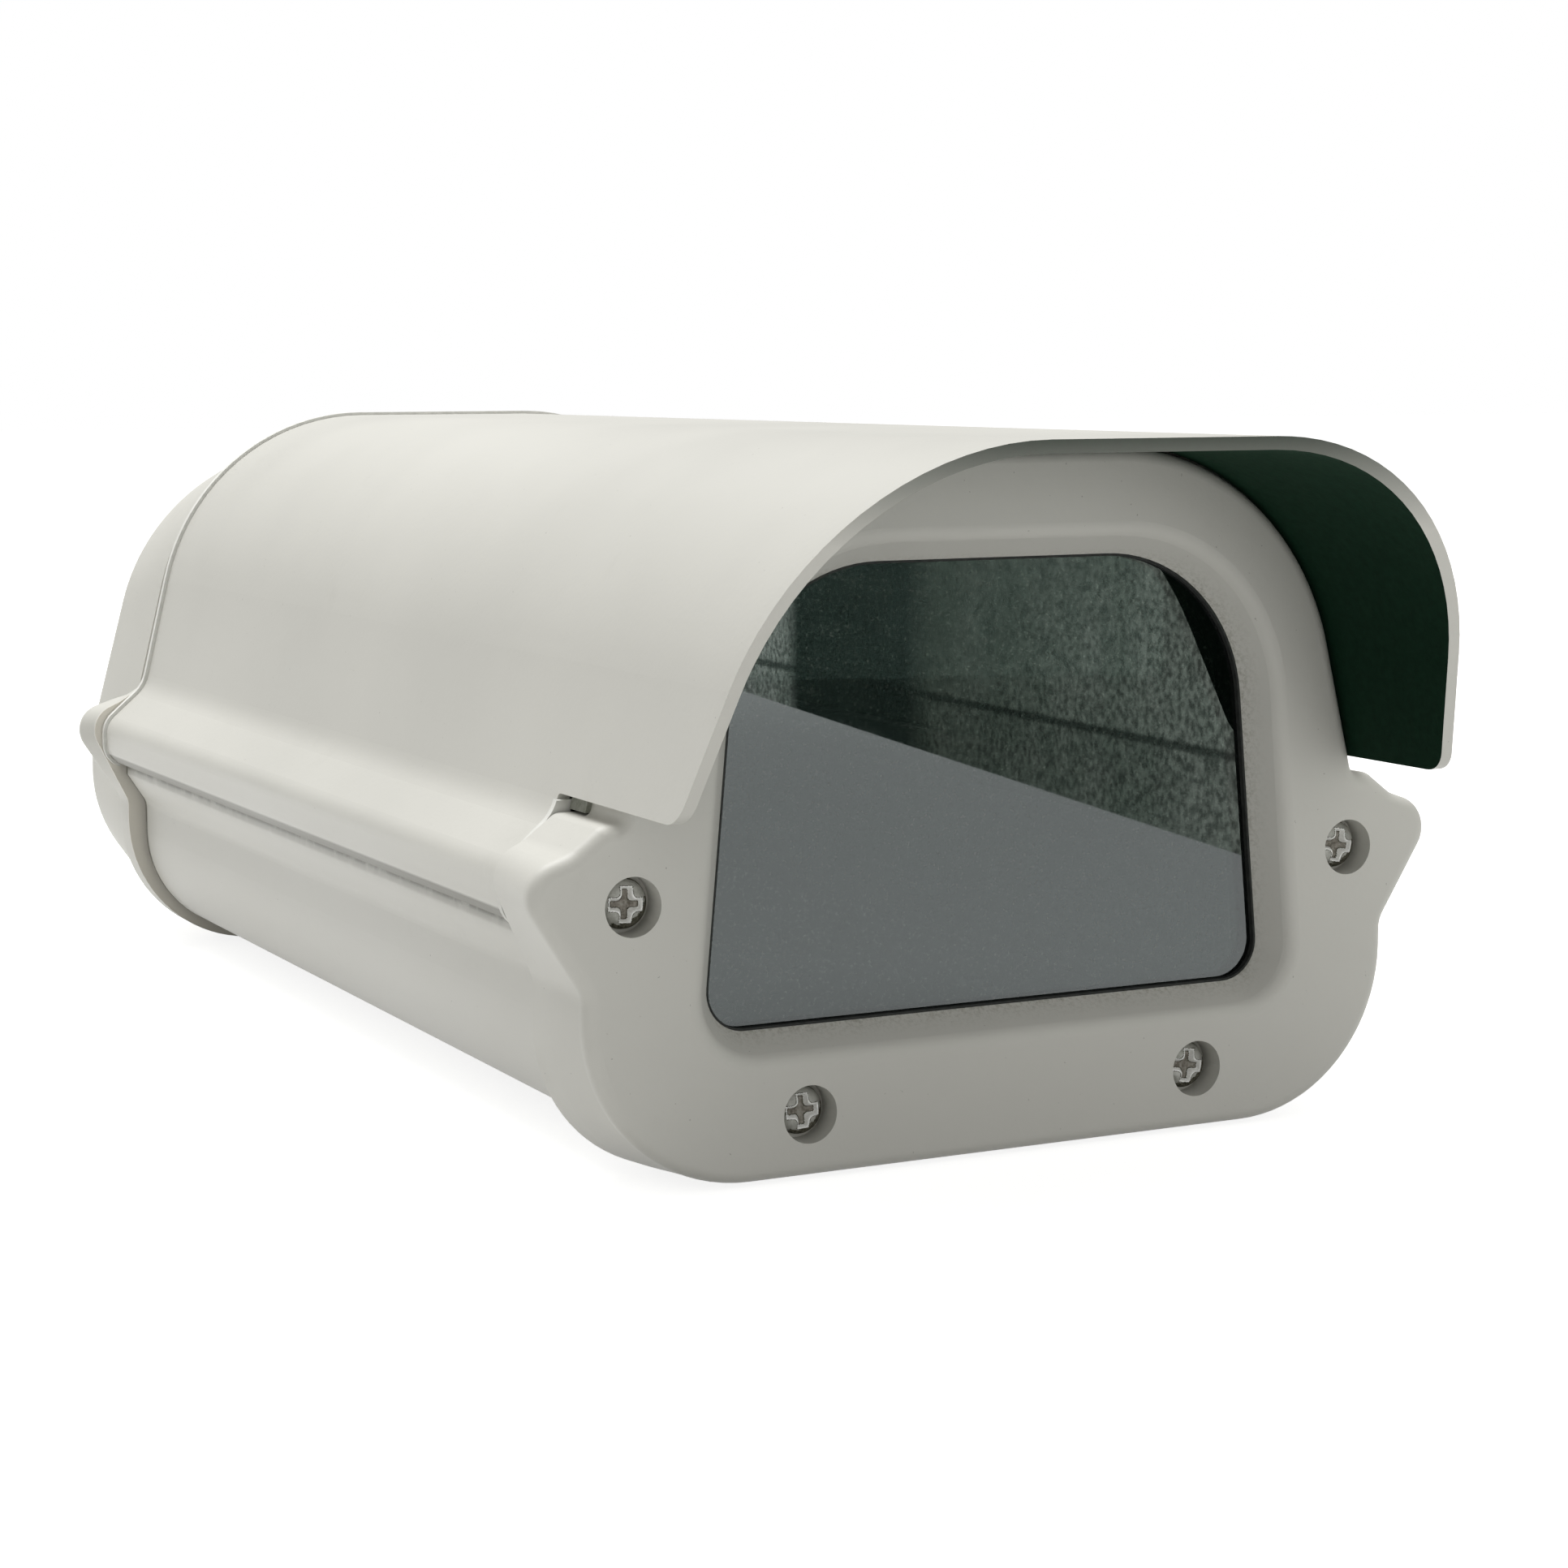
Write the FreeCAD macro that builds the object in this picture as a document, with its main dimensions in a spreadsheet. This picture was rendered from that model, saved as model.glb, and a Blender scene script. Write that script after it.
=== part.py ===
# Outdoor camera housing: a hinged aluminium cover with a sun visor over an extruded
# tray, closed by two cast end caps. Sizes are in millimetres. X points right as seen
# from the window, Y runs from the window to the cable glands and Z points up.
# The origin is under the middle of the housing, at the level of the end caps' undersides.

import os
import FreeCAD
import Part
import Sketcher
from math import acos, sin, tan
from FreeCAD import Placement, Rotation, Vector

os.makedirs("parts", exist_ok=True)
doc = FreeCAD.newDocument("camera_housing")


# Driving sizes

DRIVING = {
    # heights and widths of the screws that hold the end caps
    "ear_screw_spacing": 130.0,
    "ear_screw_rise": 0.5,
    "floor_screw_spacing": 71.0,
    "floor_screw_height": 10.4,
    # outline of both end caps
    "cap_half_width": 72.8,
    "cap_joint_gain": 0.8,
    "cap_front_rise": 0.5,
    "elbow_drop": 13.0,
    "front_flank_height": 4.6,
    "joint_flank_height": 7.6,
    "ear_corner_x": 84.2,
    "ear_set_back": 2.8,
    "ear_corner_rise": 5.1,
    "ear_radius": 5.5,
    "ear_dip_x": 74.6,
    "ear_dip_rise": 8.4,
    "shelf_drop": 2.8,
    "shelf_reach": 0.6,
    "shoulder_gap": 0.8,
    "front_cap_depth": 18.8,
    "front_wall": 5.5,
    "cap_edge_radius": 2.2,
    "seal_step": 6.0,
    "seal_step_drop": 1.8,
    "spigot_foot_rise": 5.5,
    "rear_cap_depth": 31.0,
    "rear_half_width": 73.2,
    "rear_ear_gain": 0.6,
    "rear_flank_height": 4.5,
    "rear_flank_gain": 1.4,
    "rear_ear_depth": 8.7,
    "rear_ear_rounding": 2.5,
    "rear_rim_depth": 2.0,
    "rear_wall": 3.2,
    "rear_top_set_back": 1.2,
    "rear_drop": 7.5,
    "rear_rise": 6.8,
    "rear_top_radius": 46.0,
    "rear_edge_radius": 5.0,
    "cap_rim": 13.9,
    # cover section
    "arch_height": 114.3,
    "arch_radius": 45.5,
    "arch_half_width": 68.3,
    "visor_edge_rise": 3.3,
    "wall_flare": 0.2456,
    "shell_wall": 2.0,
    "lip_reach": 78.0,
    "lip_crest_rise": 4.5,
    "lip_foot_rise": 12.2,
    "lip_inner_x": 69.3,
    "lip_inner_rise": 2.5,
    "lip_inner_bend": 7.5,
    "arch_gap": 0.5,
    # visor
    "visor_reach": 43.0,
    "visor_rake": 0.38,
    "visor_corner_radius": 5.0,
    # hinge along the left lip
    "hinge_x": 73.3,
    "hinge_height": 44.5,
    "bead_radius": 2.2,
    "hook_radius": 4.6,
    "hinge_gap": 0.25,
    "neck_thickness": 1.5,
    # tray section
    "shell_gap": 230.5,
    "seal_thickness": 1.6,
    "seal_proud": 0.6,
    "gasket_inset": 0.8,
    "soft_clearance": 0.3,
    "tray_half_width": 69.9,
    "tray_bottom": 2.7,
    "tray_corner_radius": 22.5,
    "tray_wall": 2.2,
    "flare_drop": 7.8,
    "flare_tip_x": 73.9,
    "ledge_reach": 77.4,
    "ledge_thickness": 4.2,
    "port_radius": 3.4,
    "thread_hole_radius": 2.1,
    "rail_x": 24.0,
    "rail_width": 6.0,
    "rail_top": 14.2,
    # window
    "window_bottom_half": 51.2,
    "window_top_half": 44.6,
    "window_bottom": 23.3,
    "window_top_drop": 19.5,
    "window_top_radius": 26.0,
    "window_bottom_radius": 6.5,
    "bezel_width": 3.8,
    "bezel_rounding": 3.0,
    "cavity_arch_drop": 8.5,
    "cavity_arch_inset": 7.0,
    "cavity_arch_roundness": 0.95,
    "window_gasket_thickness": 1.0,
    "glass_overlap": 3.5,
    "glass_thickness": 3.0,
    "frame_thickness": 5.5,
    # fasteners
    "screw_radius": 2.0,
    "screw_head_radius": 3.9,
    "screw_head_height": 2.6,
    "front_screw_length": 24.0,
    "rear_screw_length": 17.0,
    "cap_hole_radius": 2.25,
    "counterbore_radius": 4.6,
    "counterbore_depth": 5.0,
    "rear_screw_seat": 8.0,
    "cover_screw_offset": 88.0,
    "cover_screw_seat_rise": 2.0,
    "cover_screw_length": 12.0,
    "plate_screw_length": 8.0,
    "frame_screw_length": 8.5,
    "frame_screw_rise": 56.7,
    "small_screw_radius": 1.5,
    "small_head_radius": 2.8,
    "small_head_height": 1.8,
    # inside
    "plate_width": 92.0,
    "plate_end_margin": 10.0,
    "plate_thickness": 2.0,
    "slot_width": 6.6,
    "plate_screw_spacing": 160.0,
    "slot_end_margin": 20.0,
    "bracket_plate_width": 36.0,
    "bracket_plate_length": 92.0,
    "bracket_plate_thickness": 4.0,
    "bracket_hole_spacing": 50.0,
    "bracket_hole_radius": 3.2,
    "bracket_rivet_spacing": 76.0,
    "bracket_rivet_x": 12.0,
    "rivet_radius": 1.6,
    "rivet_head_radius": 2.8,
    "camera_screw_radius": 3.1,
    "knob_radius": 7.0,
    "knob_height": 3.8,
    "camera_screw_reach": 9.0,
    # cable glands
    "gland_x": 24.0,
    "gland_height": 36.0,
    "gland_thread_radius": 8.0,
    "gland_hex": 20.0,
    "gland_hex_thickness": 5.0,
    "gland_nut_radius": 9.8,
    "gland_nut_length": 17.0,
    "gland_bore_radius": 3.5,
}

sheet = doc.addObject("Spreadsheet::Sheet", "sizes")
for row, (alias, number) in enumerate(DRIVING.items(), start=1):
    sheet.set("A%d" % row, alias)
    sheet.set("B%d" % row, str(number))
    sheet.setAlias("B%d" % row, alias)
doc.recompute()


class Size:
    """A number together with the sheet formula that gives it."""

    def __init__(self, value, text):
        self.value = value
        self.text = text

    def __add__(self, other):
        other = size(other)
        return Size(self.value + other.value, "(%s + %s)" % (self.text, other.text))

    def __radd__(self, other):
        return size(other) + self

    def __sub__(self, other):
        other = size(other)
        return Size(self.value - other.value, "(%s - %s)" % (self.text, other.text))

    def __rsub__(self, other):
        return size(other) - self

    def __mul__(self, other):
        other = size(other)
        return Size(self.value * other.value, "(%s * %s)" % (self.text, other.text))

    def __rmul__(self, other):
        return size(other) * self

    def __truediv__(self, other):
        other = size(other)
        return Size(self.value / other.value, "(%s / %s)" % (self.text, other.text))

    def __neg__(self):
        return Size(-self.value, "(0 - %s)" % self.text)


def size(number):
    """Turn a plain number into a Size."""
    if isinstance(number, Size):
        return number
    return Size(float(number), "(%r)" % float(number))


def named(alias):
    """The Size that the sheet keeps under this name."""
    return Size(DRIVING[alias], "sizes.%s" % alias)


def bind(target, prop, number):
    """Set a property and tie it to the sheet."""
    number = size(number)
    target.setExpression(prop, number.text)


# Helpers for bodies, sketches and features

def new_body(label):
    body = doc.addObject("PartDesign::Body", label)
    body.Label = label
    return body


def sketch_on(body, name, plane, offset):
    """A sketch on one of the body's own planes, moved along the plane's normal."""
    sketch = body.newObject("Sketcher::SketchObject", name)
    for feature in body.Origin.OriginFeatures:
        if feature.Role == plane:
            sketch.AttachmentSupport = (feature, [""])
    sketch.MapMode = "FlatFace"
    bind(sketch, "AttachmentOffset.Base.z", offset)
    return sketch


def sketch_at_depth(body, name, depth):
    """A sketch seen from the window: X right, Z up, at the given Y."""
    return sketch_on(body, name, "XZ_Plane", -size(depth))


def hold_point(sketch, geometry, position, x, y):
    """Fix a point of the sketch at coordinates from the sheet, or on an axis where they are 0."""
    for kind, number, axis in (("DistanceX", x, -2), ("DistanceY", y, -1)):
        if number.text == "(0.0)":
            sketch.addConstraint(Sketcher.Constraint("PointOnObject", geometry, position, axis))
            continue
        index = sketch.addConstraint(Sketcher.Constraint(kind, geometry, position, number.value))
        sketch.setExpression("Constraints[%d]" % index, number.text)


def add_outline(sketch, corners):
    """A closed outline through the corners (x, y, radius), each rounded where radius isn't None."""
    count = len(corners)
    xs = [size(c[0]) for c in corners]
    ys = [size(c[1]) for c in corners]
    radii = [None if c[2] is None else size(c[2]) for c in corners]
    points = [Vector(xs[i].value, ys[i].value, 0) for i in range(count)]
    entry = list(points)
    leave = list(points)
    arcs = [None] * count
    for i in range(count):
        if radii[i] is None:
            continue
        before = (points[i - 1] - points[i]).normalize()
        after = (points[(i + 1) % count] - points[i]).normalize()
        half = acos(max(-1.0, min(1.0, before.dot(after)))) / 2.0
        reach = radii[i].value / tan(half)
        entry[i] = points[i] + before * reach
        leave[i] = points[i] + after * reach
        centre = points[i] + (before + after).normalize() * (radii[i].value / sin(half))
        left_turn = before.cross(after).z < 0
        arcs[i] = (centre, left_turn)
    lines = []
    for i in range(count):
        segment = Part.LineSegment(leave[i], entry[(i + 1) % count])
        lines.append(sketch.addGeometry(segment, False))
    for i in range(count):
        previous = lines[i - 1]
        following = lines[i]
        if arcs[i] is None:
            sketch.addConstraint(Sketcher.Constraint("Coincident", previous, 2, following, 1))
            hold_point(sketch, following, 1, xs[i], ys[i])
            continue
        centre, left_turn = arcs[i]
        first, last = (entry[i], leave[i]) if left_turn else (leave[i], entry[i])
        circle = Part.Circle(centre, Vector(0, 0, 1), radii[i].value)
        arc = Part.ArcOfCircle(circle, circle.parameter(first), circle.parameter(last))
        arc_index = sketch.addGeometry(arc, False)
        entry_end, leave_end = (1, 2) if left_turn else (2, 1)
        corner = sketch.addGeometry(Part.Point(points[i]), True)
        hold_point(sketch, corner, 1, xs[i], ys[i])
        sketch.addConstraint(Sketcher.Constraint("PointOnObject", corner, 1, previous))
        sketch.addConstraint(Sketcher.Constraint("PointOnObject", corner, 1, following))
        sketch.addConstraint(Sketcher.Constraint("Tangent", previous, 2, arc_index, entry_end))
        sketch.addConstraint(Sketcher.Constraint("Tangent", arc_index, leave_end, following, 1))
        index = sketch.addConstraint(Sketcher.Constraint("Radius", arc_index, radii[i].value))
        sketch.setExpression("Constraints[%d]" % index, radii[i].text)


def add_circle(sketch, x, y, radius):
    x, y, radius = size(x), size(y), size(radius)
    circle = Part.Circle(Vector(x.value, y.value, 0), Vector(0, 0, 1), radius.value)
    index = sketch.addGeometry(circle, False)
    hold_point(sketch, index, 3, x, y)
    held = sketch.addConstraint(Sketcher.Constraint("Radius", index, radius.value))
    sketch.setExpression("Constraints[%d]" % held, radius.text)


def pad(body, name, sketch, length, reverse=False):
    feature = body.newObject("PartDesign::Pad", name)
    feature.Profile = sketch
    bind(feature, "Length", length)
    feature.Reversed = reverse
    doc.recompute()
    return feature


def pad_back(body, name, sketch, length):
    """Pad towards the rear of the housing from a sketch seen from the window."""
    return pad(body, name, sketch, length, reverse=True)


def loft(body, name, near, far, kind="PartDesign::AdditiveLoft"):
    """Straight walls from one outline to another, added or cut away."""
    feature = body.newObject(kind, name)
    feature.Profile = near
    feature.Sections = [far]
    feature.Ruled = True
    doc.recompute()
    return feature


def pocket(body, name, sketch, length, reverse=False):
    feature = body.newObject("PartDesign::Pocket", name)
    feature.Profile = sketch
    bind(feature, "Length", length)
    feature.Reversed = reverse
    doc.recompute()
    return feature


def mirror_corners(corners):
    """The same corners on the other side of X = 0, in reverse order."""
    return [(-size(x), z, radius) for x, z, radius in reversed(corners)]


def both_sides(corners):
    """A whole outline from the corners of its right half, listed bottom to top."""
    return corners + mirror_corners(corners)


def group(label, source, places):
    """Copies of one body as the separate solids of one sub-part."""
    links = []
    for number, (x, y, z, rotation) in enumerate(places, start=1):
        link = doc.addObject("App::Link", "%s_%d" % (label, number))
        link.LinkedObject = source
        link.Placement = Placement(Vector(0, 0, 0), rotation)
        bind(link, "Placement.Base.x", x)
        bind(link, "Placement.Base.y", y)
        bind(link, "Placement.Base.z", z)
        links.append(link)
    compound = doc.addObject("Part::Compound", label)
    compound.Label = label
    compound.Links = links
    return compound


def make_pair(label, first, second):
    """Two bodies as the separate solids of one sub-part."""
    compound = doc.addObject("Part::Compound", label)
    compound.Label = label
    compound.Links = [first, second]
    return compound


# Places along the housing, all worked out from the driving sizes

half_total = (named("visor_reach") + named("front_cap_depth") + named("shell_gap")
              + named("rear_cap_depth") + named("gland_hex_thickness")
              + named("gland_nut_length")) / 2.0
front_y = named("visor_reach") - half_total
shell_front = front_y + named("front_cap_depth")
shell_rear = shell_front + named("shell_gap")
metal_front = shell_front + named("seal_thickness")
metal_length = named("shell_gap") - named("seal_thickness") * 2.0
rear_face = shell_rear + named("rear_cap_depth")
middle_y = shell_front + named("shell_gap") / 2.0
hinge_z = named("hinge_height")
lip_bottom = hinge_z - named("hook_radius")
lip_crest = hinge_z + named("lip_crest_rise")
lip_foot = hinge_z + named("lip_foot_rise")
visor_edge = lip_foot + named("visor_edge_rise")
cover_screw_seat = hinge_z + named("cover_screw_seat_rise")
ledge_top = lip_bottom - named("soft_clearance")
ear_x = named("ear_screw_spacing") / 2.0
ear_z = hinge_z + named("ear_screw_rise")
elbow_z = ear_z - named("elbow_drop")
floor_x = named("floor_screw_spacing") / 2.0
floor_z = named("floor_screw_height")
flare = named("wall_flare")


def wall_x(height, inset=0.0):
    """Half width of the arch's flared wall at a height, moved in by an inset."""
    outer = named("arch_half_width") + flare * (visor_edge - height)
    return outer - size(inset) * 1.03


def screw_places(depth, rotation):
    """The four screw positions that both end caps share."""
    return [(side * x, depth, z, rotation)
            for x, z in ((ear_x, ear_z), (floor_x, floor_z)) for side in (1.0, -1.0)]


# Cover: one extrusion with the arch, the visor and the two lips

def cover_corners(grow=0.0):
    """Right half of the cover's outer outline, from the lip up, grown outwards."""
    crest = lip_crest + size(grow) * 0.66
    return [
        (named("lip_reach") + grow, lip_bottom - grow, named("hook_radius") + grow),
        (named("lip_reach") + grow, crest, 5.0 + size(grow)),
        (wall_x(lip_foot, -size(grow)), lip_foot + size(grow) * 0.6, 8.0 - size(grow)),
        (wall_x(named("arch_height"), -size(grow) * 0.78),
         named("arch_height") + grow, named("arch_radius") + grow),
    ]


def cover_inner_corners(lip_drop):
    """Right half of the cover's inner outline from the arch down to the lip."""
    wall = named("shell_wall")
    bend = hinge_z + named("lip_inner_bend")
    return [
        (wall_x(named("arch_height") - wall, wall), named("arch_height") - wall,
         named("arch_radius") - wall),
        (wall_x(bend, wall), bend, 3.0),
        (named("lip_inner_x"), hinge_z + named("lip_inner_rise"), None),
        (named("lip_inner_x"), lip_bottom - lip_drop, None),
    ]


def cut_hinge(body, depth, length):
    """Open the left lip into a hook that turns on the tray's bead."""
    x, z = -named("hinge_x"), named("hinge_height")
    socket = sketch_at_depth(body, "hinge_socket", depth)
    add_circle(socket, x, z, named("bead_radius") + named("hinge_gap"))
    pocket(body, "hinge_socket_cut", socket, length)
    mouth = sketch_at_depth(body, "hinge_mouth", depth)
    add_outline(mouth, [
        (x, z, None),
        (x - 3.6, z - 8.5, None),
        (x + 9.0, z - 8.5, None),
        (x + 9.0, z + 1.4, None),
        (x + 4.0, z + 2.3, None),
    ])
    pocket(body, "hinge_mouth_cut", mouth, length)


def make_cover():
    body = new_body("cover")
    wall = named("shell_wall")
    section = sketch_at_depth(body, "cover_section", front_y - named("visor_reach"))
    inner = cover_inner_corners(0.0)
    add_outline(section, both_sides(cover_corners()) + mirror_corners(inner) + inner)
    whole = (named("visor_reach") + named("front_cap_depth") + named("shell_gap")
             - named("seal_thickness"))
    pad_back(body, "cover_arch", section, whole)

    cut_hinge(body, front_y - named("visor_reach"), whole)

    visor = sketch_on(body, "visor_cut", "YZ_Plane", -(named("lip_reach") + 2.0))
    top = named("arch_height") + 2.0
    edge = visor_edge
    below = lip_bottom - 9.9
    tip = front_y - named("visor_reach")
    rake = named("visor_rake")
    add_outline(visor, [
        (tip - 5.0, below, None),
        (metal_front, below, None),
        (metal_front, edge, 0.8),
        (tip + rake * (named("arch_height") - edge), edge, named("visor_corner_radius")),
        (tip - rake * 2.0, top, None),
        (tip - 5.0, top, None),
    ])
    pocket(body, "visor_cut_through", visor, (named("lip_reach") + 2.0) * 2.0, reverse=True)

    heads = sketch_on(body, "cover_screw_seats", "XY_Plane", lip_foot)
    holes = sketch_on(body, "cover_screw_holes", "XY_Plane", lip_foot)
    for side in (1.0, -1.0):
        y = middle_y + named("cover_screw_offset") * side
        add_circle(heads, named("hinge_x"), y, 3.8)
        add_circle(holes, named("hinge_x"), y, named("cap_hole_radius"))
    pocket(body, "cover_screw_counterbores", heads, lip_foot - cover_screw_seat)
    pocket(body, "cover_screw_through", holes, lip_foot - lip_bottom + 1.0)
    return body


# Tray: the lower extrusion with its screw ports, hinge bead and rails

def tray_corners(inset):
    """The tray's section from the right wall's outside round to the left wall's outside."""
    wall = named("tray_wall")
    half = named("tray_half_width")
    inner_x = half - wall
    floor = named("tray_bottom")
    radius = named("tray_corner_radius")
    left_top = hinge_z - 0.4
    flare_start = ledge_top - named("flare_drop")
    return [
        (half - inset, floor + inset, radius - inset),
        (half - inset, flare_start, 3.0),
        (named("ledge_reach") - inset, ledge_top - named("ledge_thickness") + 1.0 + inset, 1.5),
        (named("ledge_reach") - inset, ledge_top - inset, 0.8),
        (inner_x, ledge_top - inset, None),
        (inner_x, floor + wall, radius - wall),
        (-inner_x, floor + wall, radius - wall),
        (-inner_x, left_top, None),
        (-(inner_x + 1.4), left_top, None),
        (-(named("flare_tip_x") - inset), ledge_top + 0.6, None),
        (-(named("flare_tip_x") - inset), ledge_top - 1.6, 0.9),
        (-(half - inset), flare_start, 4.0),
        (-(half - inset), floor + inset, radius - inset),
    ]


def make_tray():
    body = new_body("tray")
    wall = named("tray_wall")
    cradle = named("hook_radius") + named("hinge_gap")
    section = sketch_at_depth(body, "tray_section", metal_front)
    add_outline(section, tray_corners(0.0))
    pad_back(body, "tray_shell", section, metal_length)

    relief = sketch_at_depth(body, "hook_clearance", metal_front)
    add_circle(relief, -named("hinge_x"), named("hinge_height"), cradle)
    pocket(body, "hook_clearance_cut", relief, metal_length)

    ports = sketch_at_depth(body, "ear_ports", metal_front)
    for side in (1.0, -1.0):
        add_circle(ports, ear_x * side, ear_z, named("port_radius"))
    pad_back(body, "ear_port_walls", ports, metal_length)

    webs = sketch_at_depth(body, "ear_port_webs", metal_front)
    web = [
        (ear_x + 0.6, ear_z - 9.0, None),
        (ear_x + 3.2, ear_z - 9.0, None),
        (ear_x + 3.2, ear_z - 2.2, None),
        (ear_x + 0.6, ear_z - 2.2, None),
    ]
    add_outline(webs, web)
    add_outline(webs, mirror_corners(web))
    pad_back(body, "ear_port_web", webs, metal_length)

    bead = sketch_at_depth(body, "hinge_bead", metal_front)
    add_circle(bead, -named("hinge_x"), named("hinge_height"), named("bead_radius"))
    pad_back(body, "hinge_bead_bar", bead, metal_length)
    neck = sketch_at_depth(body, "hinge_neck", metal_front)
    low = named("hinge_height") - named("neck_thickness") / 2.0
    high = named("hinge_height") + named("neck_thickness") / 2.0
    add_outline(neck, [
        (-named("hinge_x"), low, None),
        (-(ear_x + 2.4), low, None),
        (-(ear_x + 2.4), high, None),
        (-named("hinge_x"), high, None),
    ])
    pad_back(body, "hinge_neck_web", neck, metal_length)

    floor_ports = sketch_at_depth(body, "floor_ports", metal_front)
    for side in (1.0, -1.0):
        add_circle(floor_ports, floor_x * side, floor_z, named("port_radius"))
    pad_back(body, "floor_port_walls", floor_ports, metal_length)
    feet = sketch_at_depth(body, "floor_port_feet", metal_front)
    for side in (1.0, -1.0):
        low_x, high_x = floor_x * side - 2.2, floor_x * side + 2.2
        add_outline(feet, [
            (low_x, named("tray_bottom") + 1.0, None),
            (high_x, named("tray_bottom") + 1.0, None),
            (high_x, floor_z - 2.2, None),
            (low_x, floor_z - 2.2, None),
        ])
    for side in (1.0, -1.0):
        low_x = named("rail_x") * side - named("rail_width") / 2.0
        high_x = named("rail_x") * side + named("rail_width") / 2.0
        add_outline(feet, [
            (low_x, named("tray_bottom") + 1.0, None),
            (high_x, named("tray_bottom") + 1.0, None),
            (high_x, named("rail_top"), 0.6),
            (low_x, named("rail_top"), 0.6),
        ])
    pad_back(body, "rails_and_feet", feet, metal_length)

    threads = sketch_at_depth(body, "port_threads", metal_front)
    for side in (1.0, -1.0):
        add_circle(threads, ear_x * side, ear_z, named("thread_hole_radius"))
        add_circle(threads, floor_x * side, floor_z, named("thread_hole_radius"))
    pocket(body, "port_thread_holes", threads, metal_length)

    drilled = sketch_on(body, "ledge_holes", "XY_Plane", ledge_top)
    for side in (1.0, -1.0):
        add_circle(drilled, named("hinge_x"), middle_y + named("cover_screw_offset") * side,
                   named("cap_hole_radius"))
    pocket(body, "ledge_thread_holes", drilled, named("ledge_thickness") + 3.0)

    rail_holes = sketch_on(body, "rail_holes", "XY_Plane", named("rail_top"))
    for x in (1.0, -1.0):
        for y in (1.0, -1.0):
            add_circle(rail_holes, named("rail_x") * x,
                       middle_y + named("plate_screw_spacing") / 2.0 * y,
                       named("small_screw_radius") + 0.1)
    pocket(body, "rail_thread_holes", rail_holes, 7.5)

    floor_holes = sketch_on(body, "floor_holes", "XY_Plane", named("tray_bottom") + wall)
    for x, y in bracket_holes():
        add_circle(floor_holes, x, y, named("bracket_hole_radius"))
    for x, y in bracket_rivets():
        add_circle(floor_holes, x, y, named("rivet_radius") + 0.1)
    pocket(body, "floor_hole_cuts", floor_holes, wall + 1.0)
    return body


def bracket_holes():
    """Where a bracket's bolts go through the floor."""
    return [(0.0, middle_y + named("bracket_hole_spacing") / 2.0 * y) for y in (1.0, -1.0)]


def bracket_rivets():
    """Where the plate over the bracket's bolts is riveted to the floor."""
    return [(named("bracket_rivet_x") * x, middle_y + named("bracket_rivet_spacing") / 2.0 * y)
            for x in (1.0, -1.0) for y in (1.0, -1.0)]


# End caps

def ear_corners(share):
    """Right half of the front cap's lower outline, from the floor corner to the ear's dip.

    The share is 0 at the window's face and 1 at the joint, where the cap is fuller below
    and its ear draws in to the lip behind it.
    """
    share = size(share)
    half = named("cap_half_width") + named("cap_joint_gain") * share
    flank = named("front_flank_height")
    flank = flank + (named("joint_flank_height") - flank) * share
    return [
        (half, named("cap_front_rise") * (1.0 - share), elbow_z - flank),
        (half, elbow_z, 4.5),
        (named("ear_corner_x") - named("ear_set_back") * share,
         ear_z + named("ear_corner_rise"), named("ear_radius")),
        (named("ear_dip_x"), ear_z + named("ear_dip_rise"), 5.0),
    ]


def cavity_corners(inset=0.0, drop=0.0, rise=0.0):
    """Right half of the hollow inside a cap."""
    side = named("cap_half_width") - named("cap_rim") - inset
    arch_inset = size(inset) + named("cavity_arch_inset")
    bottom = named("floor_screw_height") + 6.1 + rise
    arch = named("arch_height") - named("cavity_arch_drop") - drop
    meeting = visor_edge + (wall_x(visor_edge, arch_inset) - side) / flare
    return [
        (side, bottom, 12.0),
        (side, meeting, 8.0),
        (wall_x(arch, arch_inset), arch, (arch - meeting) * named("cavity_arch_roundness")),
    ]


def window_corners(grow=0.0):
    """Right half of the window's outline, grown outwards."""
    grow = size(grow)
    return [
        (named("window_bottom_half") + grow, named("window_bottom") - grow,
         named("window_bottom_radius") + grow),
        (named("window_top_half") + grow, named("arch_height") - named("window_top_drop") + grow,
         named("window_top_radius") + grow),
    ]


def cap_arch(gap, base):
    """Right half of the arch that a front cap pushes inside the cover."""
    inset = named("shell_wall") + named("arch_gap") + gap
    return [
        (wall_x(base, inset), base, None),
        (wall_x(named("arch_height") - inset, inset), named("arch_height") - inset,
         named("arch_radius") - inset),
    ]


def edges_of_face(feature, y, inner=False):
    """Names of the outer or inner edges of the face that lies at the given Y."""
    names = []
    shape = feature.Shape
    for face in shape.Faces:
        box = face.BoundBox
        if abs(box.YMin - y) > 1e-3 or abs(box.YMax - y) > 1e-3:
            continue
        wires = [wire for wire in face.Wires if wire.isSame(face.OuterWire) != inner]
        for edge in [edge for wire in wires for edge in wire.Edges]:
            for number, candidate in enumerate(shape.Edges, start=1):
                if candidate.isSame(edge):
                    names.append("Edge%d" % number)
    return names


def round_edges(body, name, base, names, radius):
    feature = body.newObject("PartDesign::Fillet", name)
    feature.Base = (base, names)
    bind(feature, "Radius", radius)
    doc.recompute()
    return feature


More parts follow.
